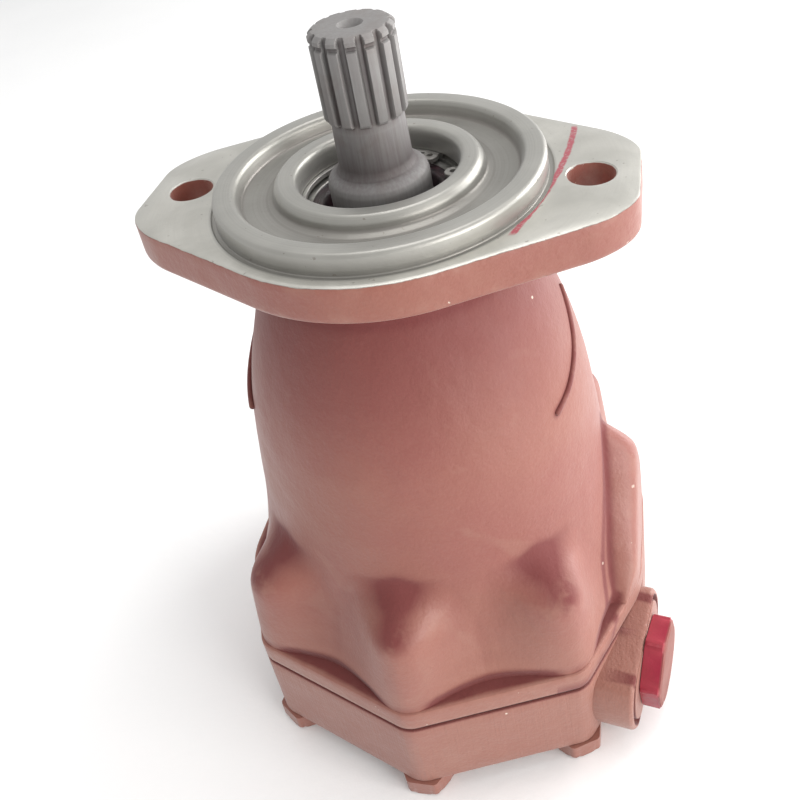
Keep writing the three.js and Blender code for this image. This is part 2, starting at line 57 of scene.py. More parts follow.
COVER_LOW, COVER_HIGH = (corner[2] for corner in span("end_cover"))
FOOT = span("housing")[0][2]                  # underside of the housing
PILOT_TOP = span("housing")[1][2]
PILOT_HEIGHT = 8.0
FACE = PILOT_TOP - PILOT_HEIGHT               # mounting face of the flange
FLANGE_THICK = 16.0
FLANGE_ROUND = 3.2
PILOT_RADIUS = 63.5
RING_INNER = 54.6
BOSS_RADIUS = 40.2
RECESS_FLOOR = FACE + 1.5
BORE_RADIUS = 31.0
BOLT_SPACING = 158.0
BOLT_HOLE = 8.75
EAR_TIP = 96.5
EAR_HALF_WIDTH = 27.0
EAR_CORNER = 19.0
FLANGE_RADIUS = 70.5

# corners of the lip and of the cover, seen from above
CORNERS = [(0, -105), (71.5, -77), (93.5, -26), (93.5, 26), (71.5, 77)]
CORNERS += [(-x, -y) for x, y in CORNERS]
COVER_ROUND = 1.1
BOLT_CIRCLE = 94.0
BOLT_FLATS = 22.0
BOLT_SHANK = 6.8
BOLT_TOP = 66.0                               # the shank ends inside the corner post
BOLT_TURNS = [0, 31, 47, 0, 53, 25]           # degrees each head happens to be turned
CORNER_ANGLE = math.atan2(77, 71.5)
RIDGES = [                                    # directions of the six corner posts
    -math.pi / 2, -CORNER_ANGLE, CORNER_ANGLE,
    math.pi / 2, math.pi - CORNER_ANGLE, math.pi + CORNER_ANGLE,
]
LIP = 10.0                                    # height of the straight edge at the foot
LIP_UNDERCUT = 1.5
PAD_MIDDLE = 4.0                              # the pad on the +X side is a little off centre
POST_BLEND = 9.0
PAD_BLEND = 2.4
OUTLINE_BLEND = 0.8
BEAD_WIRE = 1.35
DOWEL_HOLE = 3.4
DOWEL_PLACE = 78
DOWEL_ENDS = (40, 58)

PORT_RADIUS = 30.6
PORT_FACE = (95.5, -46.5)
PORT_TURN = -10 * DEG
PORT_THREAD = 13.3
PORT_GROOVE = (25.6, 28.2)                    # ring groove round the port's seat
PORT_BORE = 11
PORT_DEPTH = 66
KIDNEY_RIMS = (37, 47)
KIDNEY_REACH = 62                             # degrees to each side of the port
KIDNEY_FLOOR = 30
PIN_HOLE = 2.9
PIN_PLACE = 53
PIN_FLOOR = 41
PLUG_FLATS = 34.9
PLUG_HEAD = 9.0
DRAIN_PLACE = (0, 85.0, 126.0)
DRAIN_OUT = (0, 1, 0)
DRAIN_THREAD = 8.6
DRAIN_FLATS = 22.0
DRAIN_HEAD = 7.5
THREAD_PITCH = 1.5
GAP = 0.3                                     # clearance kept between neighbouring pieces
O_RING_WIRE = 1.2

SHAFT_TIP = span("drive_shaft")[1][2]
SPLINE_END = 278.0
SPLINE_TEETH = 14
SPLINE_OUTER = 15.6
SPLINE_ROOT = 13.3
NECK_RADIUS = 13.6
COLLAR_RADIUS = 19.5
COLLAR_TOP = 252.0
SNAP_RING = (29.4, 32.6)
SNAP_HALF_GAP = 14 * DEG
SNAP_TURN = 40 * DEG
EYE_ANGLE = 19 * DEG
EYE_PLACE = 28
EYE_RADIUS = 3.4
EYE_HOLE = 1.3

# body radius of the casting against the depth under the mounting face
BODY_PROFILE = [
    (200, 93.0), (192, 92.4), (186, 90.6), (178, 87.4), (170, 84.8), (160, 82.5), (150, 80.4),
    (140, 78.6), (130, 77.2), (120, 76.2), (110, 75.0), (100, 73.8), (90, 72.4), (80, 70.4),
    (70, 68.0), (60, 65.0), (50, 61.6), (35, 56.6), (27, 53.6), (22, 53.0), (18.5, 55.5), (16, 60.5),
]
BODY_SHIFT = 0.4                              # the body swells a little towards +X
# radius of the corner posts against the same depth, at their middle and at their foot
RIDGE_CREST = [
    (200, 104.2), (190, 103.2), (175, 101.9), (165, 100.9), (158, 100.2), (154, 99.2), (151, 97.0),
    (148, 92.6), (144.5, 86), (141, 79), (137, 71), (110, 20), (0, 0),
]
RIDGE_FOOT = [(200, 104.2), (185, 102.0), (170, 98.5), (155, 92.0), (140, 84.0), (125, 75), (0, 0)]
# depth of the pad's arched rim against the distance from its middle
PAD_RIM = [
    (0, 123), (4, 125), (8, 130), (12, 135), (19, 144), (25, 151), (33, 161), (40, 171), (48, 183),
    (60, 199),
]
# how far the pad stands out against the depth below that rim
PAD_RISE = [
    (-40, 0), (-6, 69), (0, 75.5), (5, 81.5), (10, 87), (14, 90.2), (18, 91.6), (24, 92.3),
    (40, 92.9), (80, 93.2),
]
# the raised bead under an ear: degrees from the ear's middle, depth under the mounting face
BEAD_MARKS = [(9.0, 56), (5.5, 60), (0.5, 66), (-5.5, 72.5), (-12, 77.5), (-20, 82.5), (-28.5, 86)]


# ---- mesh building -------------------------------------------------------
def add_object(name, vertices, faces):
    mesh = bpy.data.meshes.new(name)
    mesh.from_pydata([tuple(v) for v in np.asarray(vertices) * MM], [], faces)
    mesh.validate()
    obj = bpy.data.objects.new(name, mesh)
    bpy.context.scene.collection.objects.link(obj)
    return obj


def skin(name, rows, loop=False):
    """Closed surface through rows of points, each row a ring of as many points as the next.
    With loop the last row joins the first, otherwise both ends close to a centre point."""
    grid = np.array(rows)
    count, columns = grid.shape[:2]
    vertices = list(grid.reshape(-1, 3))
    first = np.arange(columns)
    after = np.roll(first, -1)
    faces = []
    pairs = [(i, i + 1) for i in range(count - 1)] + ([(count - 1, 0)] if loop else [])
    for low, high in pairs:
        a, b = low * columns, high * columns
        faces += np.stack([a + first, a + after, b + after, b + first], 1).tolist()
    if not loop:
        for row, flip in ((0, True), (count - 1, False)):
            centre = len(vertices)
            vertices.append(grid[row].mean(0))
            a, b = row * columns + first, row * columns + after
            fan = [a, b] if not flip else [b, a]
            faces += np.stack([*fan, np.full(columns, centre)], 1).tolist()
    return add_object(name, vertices, faces)


def ring_row(theta, radius, height):
    """Ring of points round the Z axis."""
    radius = np.broadcast_to(radius, theta.shape)
    height = np.broadcast_to(height, theta.shape)
    return np.stack([radius * np.cos(theta), radius * np.sin(theta), height], 1)


def around(columns):
    return np.linspace(0, 2 * math.pi, columns, endpoint=False)


def turned(name, profile, columns=64, loop=False):
    """Round piece from (radius, height) points, listed up its outside."""
    theta = around(columns)
    return skin(name, [ring_row(theta, r, z) for r, z in profile], loop)


def rounded(profile, size, steps=3):
    """The same (radius, height) points with every inner corner rounded off."""
    points = [np.array(p, float) for p in profile]
    out = [points[0]]
    for before, corner, after in zip(points[:-2], points[1:-1], points[2:]):
        back, on = before - corner, after - corner
        reach = min(size, 0.45 * np.hypot(*back), 0.45 * np.hypot(*on))
        start = corner + back / np.hypot(*back) * reach
        end = corner + on / np.hypot(*on) * reach
        for i in range(steps + 1):
            t = i / steps
            out.append((1 - t) ** 2 * start + 2 * t * (1 - t) * corner + t * t * end)
    out.append(points[-1])
    return [tuple(p) for p in out]


def combine(obj, tools, operation):
    """Union with, or difference from, closed tool meshes, which are used up."""
    for tool in tools:
        modifier = obj.modifiers.new("cut", "BOOLEAN")
        modifier.operation = operation
        modifier.solver = "MANIFOLD"
        modifier.object = tool
        with bpy.context.temp_override(object=obj, active_object=obj):
            bpy.ops.object.modifier_apply(modifier=modifier.name)
        bpy.data.objects.remove(tool, do_unlink=True)
    return obj


def joined(tools):
    """One mesh object out of several that do not touch."""
    bm = bmesh.new()
    for tool in tools:
        tool.data.transform(tool.matrix_world)
        bm.from_mesh(tool.data)
    for tool in tools[1:]:
        bpy.data.objects.remove(tool, do_unlink=True)
    bm.to_mesh(tools[0].data)
    bm.free()
    return tools[0]


def move(obj, place):
    obj.data.transform(Matrix.Translation(Vector(place) * MM))
    return obj


def aim(obj, origin, direction):
    """Turns a piece built along +Z so that it stands on origin along direction."""
    turn = Vector((0, 0, 1)).rotation_difference(Vector(direction)).to_matrix().to_4x4()
    obj.data.transform(Matrix.Translation(Vector(origin) * MM) @ turn)
    return obj


def peg(radius, low, high, columns=48):
    return turned("tool", [(radius, low), (radius, high)], columns)


def shade(obj, angle=32):
    obj.data.shade_smooth()
    obj.data.set_sharp_from_angle(angle=angle * DEG)


# ---- smooth shape functions ---------------------------------------------
def smooth_max(a, b, k):
    h = np.clip(0.5 + 0.5 * (a - b) / k, 0, 1)
    return b + (a - b) * h + k * h * (1 - h)


def smooth_min(a, b, k):
    return -smooth_max(-a, -b, k)


def step(low, high, x):
    t = np.clip((x - low) / (high - low), 0, 1)
    return t * t * (3 - 2 * t)


def wrap(angle):
    return (angle + math.pi) % (2 * math.pi) - math.pi


def polygon_radius(theta, corners, soft):
    """Polar radius of a convex outline round the axis, its corners softened."""
    radius = None
    for (x0, y0), (x1, y1) in zip(corners, corners[1:] + corners[:1]):
        normal = math.atan2(x0 - x1, y1 - y0)
        distance = x0 * math.cos(normal) + y0 * math.sin(normal)
        turn = np.cos(wrap(theta - normal))
        edge = np.where(turn > 0.2, distance / np.maximum(turn, 0.2), 5 * distance)
        radius = edge if radius is None else smooth_min(radius, edge, soft)
    return radius


def outline_radius(theta):
    return polygon_radius(theta, CORNERS, 3.6)


def flange_radius(theta):
    """Two ears whose edges run tangent to the round middle of the flange."""
    reach = math.hypot(EAR_TIP, EAR_HALF_WIDTH)
    lean = math.acos(FLANGE_RADIUS / reach) + math.atan2(EAR_HALF_WIDTH, EAR_TIP)
    radius = np.full(theta.shape, FLANGE_RADIUS)
    for middle in (0, math.pi):
        turn = wrap(theta - middle)
        tip = EAR_TIP / np.maximum(np.cos(turn), 0.2)
        side = FLANGE_RADIUS / np.maximum(np.cos(np.abs(turn) - lean), 0.2)
        ear = smooth_min(tip, side, EAR_CORNER)
        radius = np.where(np.abs(turn) < lean, np.maximum(radius, ear), radius)
    return radius


def hex_radius(theta, flats):
    turn = (theta % (math.pi / 3)) - math.pi / 6
    return np.minimum(flats / 2 / np.cos(turn), flats / math.sqrt(3) - 0.35)


# ---- the casting ---------------------------------------------------------
def body_profile(z):
    heights = FACE - np.array([p[0] for p in BODY_PROFILE])
    radii = np.array([p[1] for p in BODY_PROFILE])
    fine = np.linspace(heights[0], heights[-1], 700)
    rough = np.interp(fine, heights, radii)
    kernel = np.exp(-0.5 * (np.arange(-16, 17) / 7.0) ** 2)
    padded = np.pad(rough, 16, mode="edge")
    soft = np.convolve(padded, kernel / kernel.sum(), "valid")
    return np.interp(z, fine, soft)


def curve(points, x, spread=0.0):
    """Line through (position, value) points, averaged over a small spread."""
    points = sorted(points)
    at = np.array([p[0] for p in points], float)
    value = np.array([p[1] for p in points], float)
    shifts = (-spread, -0.5 * spread, 0, 0.5 * spread, spread)
    return sum(np.interp(x + shift, at, value) for shift in shifts) / len(shifts)


def ridge_radius(theta, z, ridge):
    """Rounded post at one corner, its top sloping in to the body."""
    turn = wrap(theta - ridge)
    across = outline_radius(theta) * np.sin(turn)
    away = step(5, 30, np.abs(across))
    crest = (1 - away) * curve(RIDGE_CREST, FACE - z, 2.0) + away * curve(RIDGE_FOOT, FACE - z, 4.0)
    slope = 0.45 * (np.sqrt(across ** 2 + 42) - 6.5)
    return np.where(np.cos(turn) > 0.4, crest - slope - 0.005 * across ** 2, 0)


def pad_radius(theta, z):
    """Arched pad on the +X side, its upper edge sloping in to the body."""
    turn = wrap(theta)
    side = 88 * np.tan(np.clip(turn, -1, 1)) - PAD_MIDDLE
    below = FACE - z - curve(PAD_RIM, np.abs(side), 1.5)
    pad = curve(PAD_RISE, below, 1.5) / np.maximum(np.cos(turn), 0.3)
    return np.where((np.abs(turn) < 0.8) & (below > -14), pad, 0)


def casting_radius(theta, z):
    """Polar radius of the painted outside of the housing above its lip."""
    outline = outline_radius(theta)
    radius = body_profile(z) + BODY_SHIFT * np.cos(theta)
    for ridge in RIDGES:
        radius = smooth_max(radius, ridge_radius(theta, z, ridge), POST_BLEND)
    radius = smooth_max(radius, pad_radius(theta, z), PAD_BLEND)
    radius = smooth_min(radius, outline, OUTLINE_BLEND) - 0.05
    above = np.maximum(z - FOOT - LIP, 0)
    ledge = np.clip((outline - radius - 0.4) / 3, 0, 1)
    return radius - LIP_UNDERCUT * ledge * np.exp(-(above / 3.2) ** 2)


def casting_rows(theta):
    """Foot, lip and tapering body up to the underside of the flange."""
    outline = outline_radius(theta)
    rows = [
        ring_row(theta, outline - 1.0, FOOT),
        ring_row(theta, outline - 0.3, FOOT + 0.3),
        ring_row(theta, outline, FOOT + 1.0),
    ]
    rows += [ring_row(theta, outline, FOOT + h) for h in (3, 6, LIP - 1.1)]
    ledge = FOOT + LIP
    inner = casting_radius(theta, np.full(theta.shape, ledge + 0.05))
    round_off = np.clip(outline - inner - 0.15, 0, 1.0)
    rows += [ring_row(theta, outline - 0.35 * round_off, ledge - 0.4)]
    for s in (0, 0.3, 0.7):
        radius = outline - 0.05 + (inner - outline) * s - round_off * (1 - s)
        rows.append(ring_row(theta, radius, ledge - 0.03))
    top = FACE - FLANGE_THICK
    heights = np.concatenate([
        ledge + np.array([0.05, 0.7, 1.4, 2.2, 3.0, 4.0, 5.0, 6.0, 7.0, 8.0, 9.0, 10.0]),
        np.arange(ledge + 11.2, top - 10, 1.25),
        np.linspace(top - 9.5, top - 0.2, 14),
    ])
    for z in heights:
        height = np.full(theta.shape, z)
        rows.append(ring_row(theta, casting_radius(theta, height), height))
    return rows


def flange_rows(theta):
    """Underside, edge and machined top of the flange, in to the pilot."""
    edge = flange_radius(theta)
    low = FACE - FLANGE_THICK
    start = body_profile(np.array([low]))[0]
    rows = []
    for s in (0, 0.25, 0.5, 0.75, 1):
        rows.append(ring_row(theta, start + 1.5 + (edge - FLANGE_ROUND - start - 1.5) * s, low))
    for angle in (25, 50, 70, 90):
        inset = FLANGE_ROUND * (1 - math.sin(angle * DEG))
        rows.append(ring_row(theta, edge - inset, low + FLANGE_ROUND * (1 - math.cos(angle * DEG))))
    rows += [ring_row(theta, edge, low + h) for h in (6, 9, 12, FLANGE_THICK - 0.9)]
    rows += [ring_row(theta, edge - 0.25, FACE - 0.3), ring_row(theta, edge - 0.9, FACE)]
    for s in (0.75, 0.5, 0.25, 0):
        rows.append(ring_row(theta, PILOT_RADIUS + 2.2 + (edge - 0.9 - PILOT_RADIUS - 2.2) * s, FACE))
    return rows


def bore_profile():
    """Pilot, recess, boss and everything inside the casting, from the pilot inwards and down."""
    top = PILOT_TOP
    outer = [
        (PILOT_RADIUS + 2.2, FACE - 0.01), (PILOT_RADIUS + 1.8, FACE - 0.5),
        (PILOT_RADIUS + 0.2, FACE - 0.5), (PILOT_RADIUS, FACE + 0.1), (PILOT_RADIUS, top - 1.2),
        (PILOT_RADIUS - 1.2, top), (RING_INNER + 1.2, top), (RING_INNER, top - 1.4),
        (RING_INNER - 1.2, RECESS_FLOOR + 0.4), (RING_INNER - 4, RECESS_FLOOR),
        (BOSS_RADIUS + 3.4, RECESS_FLOOR), (BOSS_RADIUS + 0.6, RECESS_FLOOR + 1.2),
        (BOSS_RADIUS, top - 2.4), (BOSS_RADIUS - 2.0, top), (BORE_RADIUS + 2.0, top),
        (BORE_RADIUS + 0.6, top - 0.9), (BORE_RADIUS, top - 3.2),
    ]
    inner = [
        (BORE_RADIUS, 247.3), (33, 247.3), (33, 244.7), (BORE_RADIUS, 244.7), (BORE_RADIUS, 232), (27, 232),
        (27, 206.3), (42.3, 206.3), (42.3, 183.3), (57, 183.3), (57, 141), (61, 137), (61, FOOT),
    ]
    return rounded(outer, 0.9) + inner


def bead_path(side):
    """Line of the thin raised bead on the body under one ear."""
    count = len(BEAD_MARKS)
    t = np.linspace(0, count - 1, 40)
    angle = np.interp(t, np.arange(count), [m[0] for m in BEAD_MARKS]) * DEG
    under = np.interp(t, np.arange(count), [m[1] for m in BEAD_MARKS])
    kernel = np.ones(5) / 5
    angle = np.convolve(np.pad(angle, 2, mode="edge"), kernel, "valid")
    under = np.convolve(np.pad(under, 2, mode="edge"), kernel, "valid")
    radius = body_profile(FACE - under) + 0.35
    points = np.stack([radius * np.cos(angle), radius * np.sin(angle), FACE - under], 1)
    points[:, 0] *= side
    return points


def tube(name, points, radius, columns=12):
    """Round bar along a line of points, with domed ends."""
    points = np.asarray(points, float)
    along = np.gradient(points, axis=0)
    along /= np.linalg.norm(along, axis=1)[:, None]
    rows = []
    side = np.cross(along[0], (0, 0, 1.0))
    theta = around(columns)
    ends = len(points) - 1
    for i, (point, direction) in enumerate(zip(points, along)):
        side = side - direction * (side @ direction)
        side /= np.linalg.norm(side)
        other = np.cross(direction, side)
        circle = np.cos(theta)[:, None] * side + np.sin(theta)[:, None] * other
        domes = [(-0.8, 0.6), (-0.5, 0.866)] if i == 0 else []
        domes += [(0, 1)]
        domes += [(0.5, 0.866), (0.8, 0.6)] if i == ends else []
        for shift, scale in domes:
            rows.append(point + direction * shift * radius + circle * radius * scale)
    return skin(name, rows)


def drain_boss():
    profile = rounded([(17.4, -22), (17, -1.5), (15.6, 0)], 1.0)
    return aim(turned("tool", profile, 64), DRAIN_PLACE, DRAIN_OUT)


def port_cutters(face, out, thread, depth):
    """Seat of the seal ring and threaded hole of a plugged port."""
    seat = thread + 2 * (O_RING_WIRE + GAP) + GAP
    low = -2 * (O_RING_WIRE + GAP)
    hole = thread + GAP
    profile = [(hole, -depth), (hole, low), (seat, low), (seat, 0), (seat + 4, 4)]
    return aim(turned("tool", profile, 64), face, out)


def bolt_places():
    return [(BOLT_CIRCLE * math.cos(a), BOLT_CIRCLE * math.sin(a)) for a in RIDGES]


def make_housing():
    theta = around(768)
    rows = casting_rows(theta) + flange_rows(theta)
    rows += [ring_row(theta, r, z) for r, z in bore_profile()]
    body = skin("housing_casting", rows, loop=True)
    combine(body, [tube("tool", bead_path(side), BEAD_WIRE) for side in (1, -1)], "UNION")
    combine(body, [drain_boss()], "UNION")
    holes = []
    for side in (-1, 1):
        low = FACE - FLANGE_THICK - 1
        profile = [(BOLT_HOLE, low), (BOLT_HOLE, FACE - 0.5), (BOLT_HOLE + 1.6, FACE + 1)]
        holes.append(move(turned("tool", profile, 72), (side * BOLT_SPACING / 2, 0, 0)))
    for x, y in bolt_places():
        holes.append(move(peg(BOLT_SHANK + 0.4, FOOT - 1, BOLT_TOP + 2), (x, y, 0)))
    for side in (1, -1):
        holes.append(move(peg(DOWEL_HOLE, FOOT - 1, DOWEL_ENDS[1]), (side * DOWEL_PLACE, 0, 0)))
    combine(body, [joined(holes)], "DIFFERENCE")
    return combine(body, [port_cutters(DRAIN_PLACE, DRAIN_OUT, DRAIN_THREAD, 35)], "DIFFERENCE")


# ---- end cover -----------------------------------------------------------
def port_place(side):
    """Middle of a port's face and the way it points; side 1 is +X and towards -Y."""
    out = Vector((math.cos(PORT_TURN), math.sin(PORT_TURN), 0)) * side
    height = (COVER_LOW + COVER_HIGH) / 2
    return Vector((PORT_FACE[0] * side, PORT_FACE[1] * side, height)), out


def kidney(side):
    """Arc-shaped slot tool round the shaft axis."""
    spread = np.linspace(-KIDNEY_REACH, KIDNEY_REACH, 32) * DEG + (0 if side > 0 else math.pi)
    inner, outer = KIDNEY_RIMS
    rim = [(outer * math.cos(a), outer * math.sin(a)) for a in spread]
    rim += [(inner * math.cos(a), inner * math.sin(a)) for a in spread[::-1]]
    count = len(rim)
    vertices = [(x, y, z) for z in (KIDNEY_FLOOR, COVER_HIGH + 1) for x, y in rim]
    faces = [tuple(range(count - 1, -1, -1)), tuple(range(count, 2 * count))]
    faces += [(i, (i + 1) % count, count + (i + 1) % count, count + i) for i in range(count)]
    return add_object("tool", vertices, faces)


def port_boss(side):
    """Boss round a port, flattened level with the top and the underside of the cover."""
    face, out = port_place(side)
    rim = PORT_RADIUS
    inner, outer = PORT_GROOVE
    half = (COVER_HIGH - COVER_LOW) / 2 - 0.2
    theta = around(144)
    level = np.maximum(np.abs(np.cos(theta)), 0.2)
    profile = [
        (rim, -32), (rim, -1.6), (rim - 1.4, -0.4), (outer, -0.4), (outer - 0.3, -3.0),
        (inner + 0.3, -3.0), (inner, 0), (1, 0),
    ]
    rows = []
    for r, z in rounded(profile, 0.8, 2):
        flat = (half - 0.3 * (rim - r)) / level
        rows.append(ring_row(theta, smooth_min(np.full(theta.shape, r), flat, 5.0), z))
    return aim(skin("tool", rows), face, out)


def make_cover():
    theta = around(720)
    outline = outline_radius(theta)
    low, high = COVER_LOW, COVER_HIGH
    rows = [ring_row(theta, outline * s, low) for s in (0.2, 0.5, 0.8)]
    for angle in (0, 30, 60, 90):
        inset = COVER_ROUND * (1 - math.sin(angle * DEG))
        rows.append(ring_row(theta, outline - inset, low + COVER_ROUND * (1 - math.cos(angle * DEG))))
    rows += [ring_row(theta, outline, z) for z in np.linspace(low + 6, high - 1.0, 8)]
    rows += [ring_row(theta, outline - 0.3, high - 0.3), ring_row(theta, outline - 1.0, high)]
    inner = [(80, high), (50, high), (25.3, high), (25.3, 23.5), (17, 23.5), (17, 17)]
    rows += [ring_row(theta, r, z) for r, z in inner]
    body = skin("end_cover_casting", rows)
    combine(body, [port_boss(1), port_boss(-1)], "UNION")
    for side in (1, -1):
        face, out = port_place(side)
        combine(body, [port_cutters(face, out, PORT_THREAD, 20), kidney(side)], "DIFFERENCE")
        combine(body, [aim(peg(PORT_BORE, -PORT_DEPTH, 1), face, out)], "DIFFERENCE")
    holes = [move(peg(BOLT_SHANK + 0.6, low - 1, high + 1), (x, y, 0)) for x, y in bolt_places()]
    for side in (1, -1):
        holes.append(move(peg(DOWEL_HOLE, DOWEL_ENDS[0], high + 1), (side * DOWEL_PLACE, 0, 0)))
    holes.append(move(peg(PIN_HOLE, PIN_FLOOR, high + 1), (0, PIN_PLACE, 0)))
    return combine(body, [joined(holes)], "DIFFERENCE")


# ---- bolts and plugs -----------------------------------------------------
def hex_rows(theta, flats, low, high, foot=0.4, crown=1.3):
    """Hexagon whose corners are turned off at both ends."""
    cuts = [
        (low, foot), (low + foot, 0), (high - crown, 0), (high - crown * 0.4, crown),
        (high, 2.2 * crown),
    ]
    rows = []
    for z, cut in cuts:
        cone = flats / math.sqrt(3) - cut * 1.1
        rows.append(ring_row(theta, np.minimum(hex_radius(theta, flats), cone), z))
    rows.append(ring_row(theta, flats / 2 - crown * 0.9, high))
    return rows


def make_bolt(name, x, y, turn):
    """Cover bolt: head below the cover, shank up into the casting."""
    theta = around(96)
    low = span("cover_bolt_1")[0][2]
    under = COVER_LOW - GAP
    rows = [row * (1, 1, -1) for row in hex_rows(theta, BOLT_FLATS, -under, -low)]
    rows.reverse()
    for radius, z in ((BOLT_SHANK, under), (BOLT_SHANK, BOLT_TOP - 1), (BOLT_SHANK - 0.8, BOLT_TOP)):
        rows.append(ring_row(theta, radius, z))
    bolt = skin(name, rows)
    bolt.data.transform(Matrix.Rotation(turn, 4, "Z"))
    return move(bolt, (x, y, 0))


def make_plug(name, face, out, flats, head, thread, length, turn):
    """Hexagon plug with a threaded shank."""
    theta = around(192)
    rows = [ring_row(theta, thread - 1.2, -length), ring_row(theta, thread - 0.2, 1 - length)]
    crest = 1 - length
    while crest < -4.5:
        rows.append(ring_row(theta, thread - 1.0, crest + THREAD_PITCH * 0.5))
        rows.append(ring_row(theta, thread - 0.1, crest + THREAD_PITCH))
        crest += THREAD_PITCH
    rows += [ring_row(theta, thread - 0.4, -3.4), ring_row(theta, thread - 0.4, GAP)]
    rows += hex_rows(theta, flats, GAP, GAP + head, 0.7, 1.5)
    middle = flats / 2 - 1.5 * 0.9
    rows += [ring_row(theta, middle * s, GAP + head) for s in (0.7, 0.4)]
    plug = skin(name, rows)
    plug.data.transform(Matrix.Rotation(turn, 4, "Z"))
    return aim(plug, face, out)


# ---- shaft and seal ------------------------------------------------------
def tooth_radius(theta):
    """Straight-sided spline teeth with small fillets."""
    phase = (theta * SPLINE_TEETH / (2 * math.pi)) % 1.0
    off = np.abs(phase - np.round(phase))
    return SPLINE_OUTER - (SPLINE_OUTER - SPLINE_ROOT) * step(0.24, 0.38, off)


def make_shaft():
    """Whole shaft: journals, collar, neck, splined end with its groove, centre hole."""
    theta = around(SPLINE_TEETH * 28)
    tooth = tooth_radius(theta)
    low = span("drive_shaft")[0][2]
    plain = rounded([
        (12, low), (13, low), (14, low + 1), (14, 58), (17.7, 60), (17.7, 183), (20, 184), (20, 206.3),
        (23, 206.3), (23, 214), (COLLAR_RADIUS, 218), (COLLAR_RADIUS, COLLAR_TOP),
        (COLLAR_RADIUS - 0.6, COLLAR_TOP + 2.2), (17.4, COLLAR_TOP + 3.6), (15.2, COLLAR_TOP + 4.8),
        (14.0, COLLAR_TOP + 7.5), (NECK_RADIUS, SPLINE_END - 3.0), (13.45, SPLINE_END - 1.2),
        (13.45, SPLINE_END - 0.6),
    ], 0.6, 2)
    rows = [ring_row(theta, r, z) for r, z in plain]
    outer, tip = SPLINE_OUTER, SHAFT_TIP
    teeth = [
        (SPLINE_END, 13.5), (SPLINE_END + 0.15, 14.9), (SPLINE_END + 0.8, 15.4),
        (SPLINE_END + 1.2, outer), (tip - 20, outer), (tip - 5.2, outer), (tip - 4.9, 15.1),
        (tip - 4.6, 14.6), (tip - 3.6, 14.6), (tip - 3.3, 15.1), (tip - 3.0, outer),
        (tip - 1.6, outer), (tip - 0.7, 14.7), (tip - 0.1, 13.9),
    ]
    rows += [ring_row(theta, np.minimum(tooth, cap), z) for z, cap in teeth]
    centre_hole = [
        (13.0, tip), (9.0, tip), (4.8, tip), (4.3, tip - 0.4), (2.3, tip - 3.8), (2.2, tip - 14),
        (1.0, tip - 15),
    ]
    rows += [ring_row(theta, r, z) for r, z in centre_hole]
    return skin("drive_shaft_fine", rows)


def make_seal():
    """Lip seal: outer case, spring side and sealing edge."""
    low, high = (corner[2] for corner in span("shaft_seal"))
    profile = [
        (22.5, low), (30.3, low), (30.7, low + 0.6), (30.7, high - 0.5), (30.2, high), (27.8, high),
        (27.2, high - 0.9), (25.4, high - 1.0), (24.9, high - 0.3), (23.4, high - 0.1),
        (22.6, high - 0.7), (21.9, high - 1.9),
        (20.5, high - 5.4), (19.85, high - 6.6), (20.5, high - 7.9),
    ]
    return turned("shaft_seal_fine", profile, 128, loop=True)


def make_snap_ring():
    """Internal ring with an open side and two eyes for the pliers."""
    low, high = (corner[2] for corner in span("seal_snap_ring"))
    inner, outer = SNAP_RING
    edge = 0.25
    profile = [
        (inner + edge, low), (outer - edge, low), (outer, low + edge), (outer, high - edge),
        (outer - edge, high), (inner + edge, high), (inner, high - edge), (inner, low + edge),
    ]
    ring = turned("seal_snap_ring_fine", profile, 192, loop=True)
    wedge = [(0, 0)] + [(40 * math.cos(a), 40 * math.sin(a)) for a in (-SNAP_HALF_GAP, SNAP_HALF_GAP)]
    vertices = [(x, y, z) for z in (low - 1, high + 1) for x, y in wedge]
    faces = [(2, 1, 0), (3, 4, 5), (0, 1, 4, 3), (1, 2, 5, 4), (2, 0, 3, 5)]
    combine(ring, [add_object("tool", vertices, faces)], "DIFFERENCE")
    for side in (-1, 1):
        angle = side * EYE_ANGLE
        place = (EYE_PLACE * math.cos(angle), EYE_PLACE * math.sin(angle), 0)
        rim = EYE_RADIUS
        profile = [(rim - edge, low), (rim, low + edge), (rim, high - edge), (rim - edge, high)]
        eye = turned("tool", profile, 48)
        combine(ring, [move(eye, place)], "UNION")
        combine(ring, [move(peg(EYE_HOLE, low - 1, high + 1, 24), place)], "DIFFERENCE")
    ring.data.transform(Matrix.Rotation(SNAP_TURN, 4, "Z"))
    return ring


# ---- surface wear, dirt and painted shade stored on the mesh ------------
def positions(mesh):
    """Vertex places in metres, one row each."""
    flat = np.zeros(len(mesh.vertices) * 3)
    mesh.vertices.foreach_get("co", flat)
    return flat.reshape(-1, 3)


def store(mesh, name, values):
    attribute = mesh.attributes.new(name, "FLOAT", "POINT")
    attribute.data.foreach_set("value", np.asarray(values, np.float32))


def curvature(mesh, rounds):
    """How far each vertex stands out of the surface averaged round it, in millimetres."""
    points = positions(mesh) / MM
    pairs = np.zeros(len(mesh.edges) * 2, np.int32)
    mesh.edges.foreach_get("vertices", pairs)
    a, b = pairs.reshape(-1, 2).T
    count = len(points)
    degree = np.bincount(a, minlength=count) + np.bincount(b, minlength=count)
    soft = points.copy()
    for _ in range(rounds):
        total = np.stack([
            np.bincount(a, soft[b, k], count) + np.bincount(b, soft[a, k], count) for k in range(3)
        ], 1)
        soft = 0.5 * soft + 0.5 * total / np.maximum(degree, 1)[:, None]
    normals = np.zeros(count * 3)
    mesh.vertices.foreach_get("normal", normals)
    return ((points - soft) * normals.reshape(-1, 3)).sum(1)


def store_wear_and_shade(obj, rounds=10, scale=0.35):
    bend = curvature(obj.data, rounds) / scale
    store(obj.data, "edge", np.clip(bend, 0, 1))
    # the concave side darkens: dirt, and painted shade in creases and recesses
    store(obj.data, "dirt_and_shade", np.clip(-bend, 0, 1))


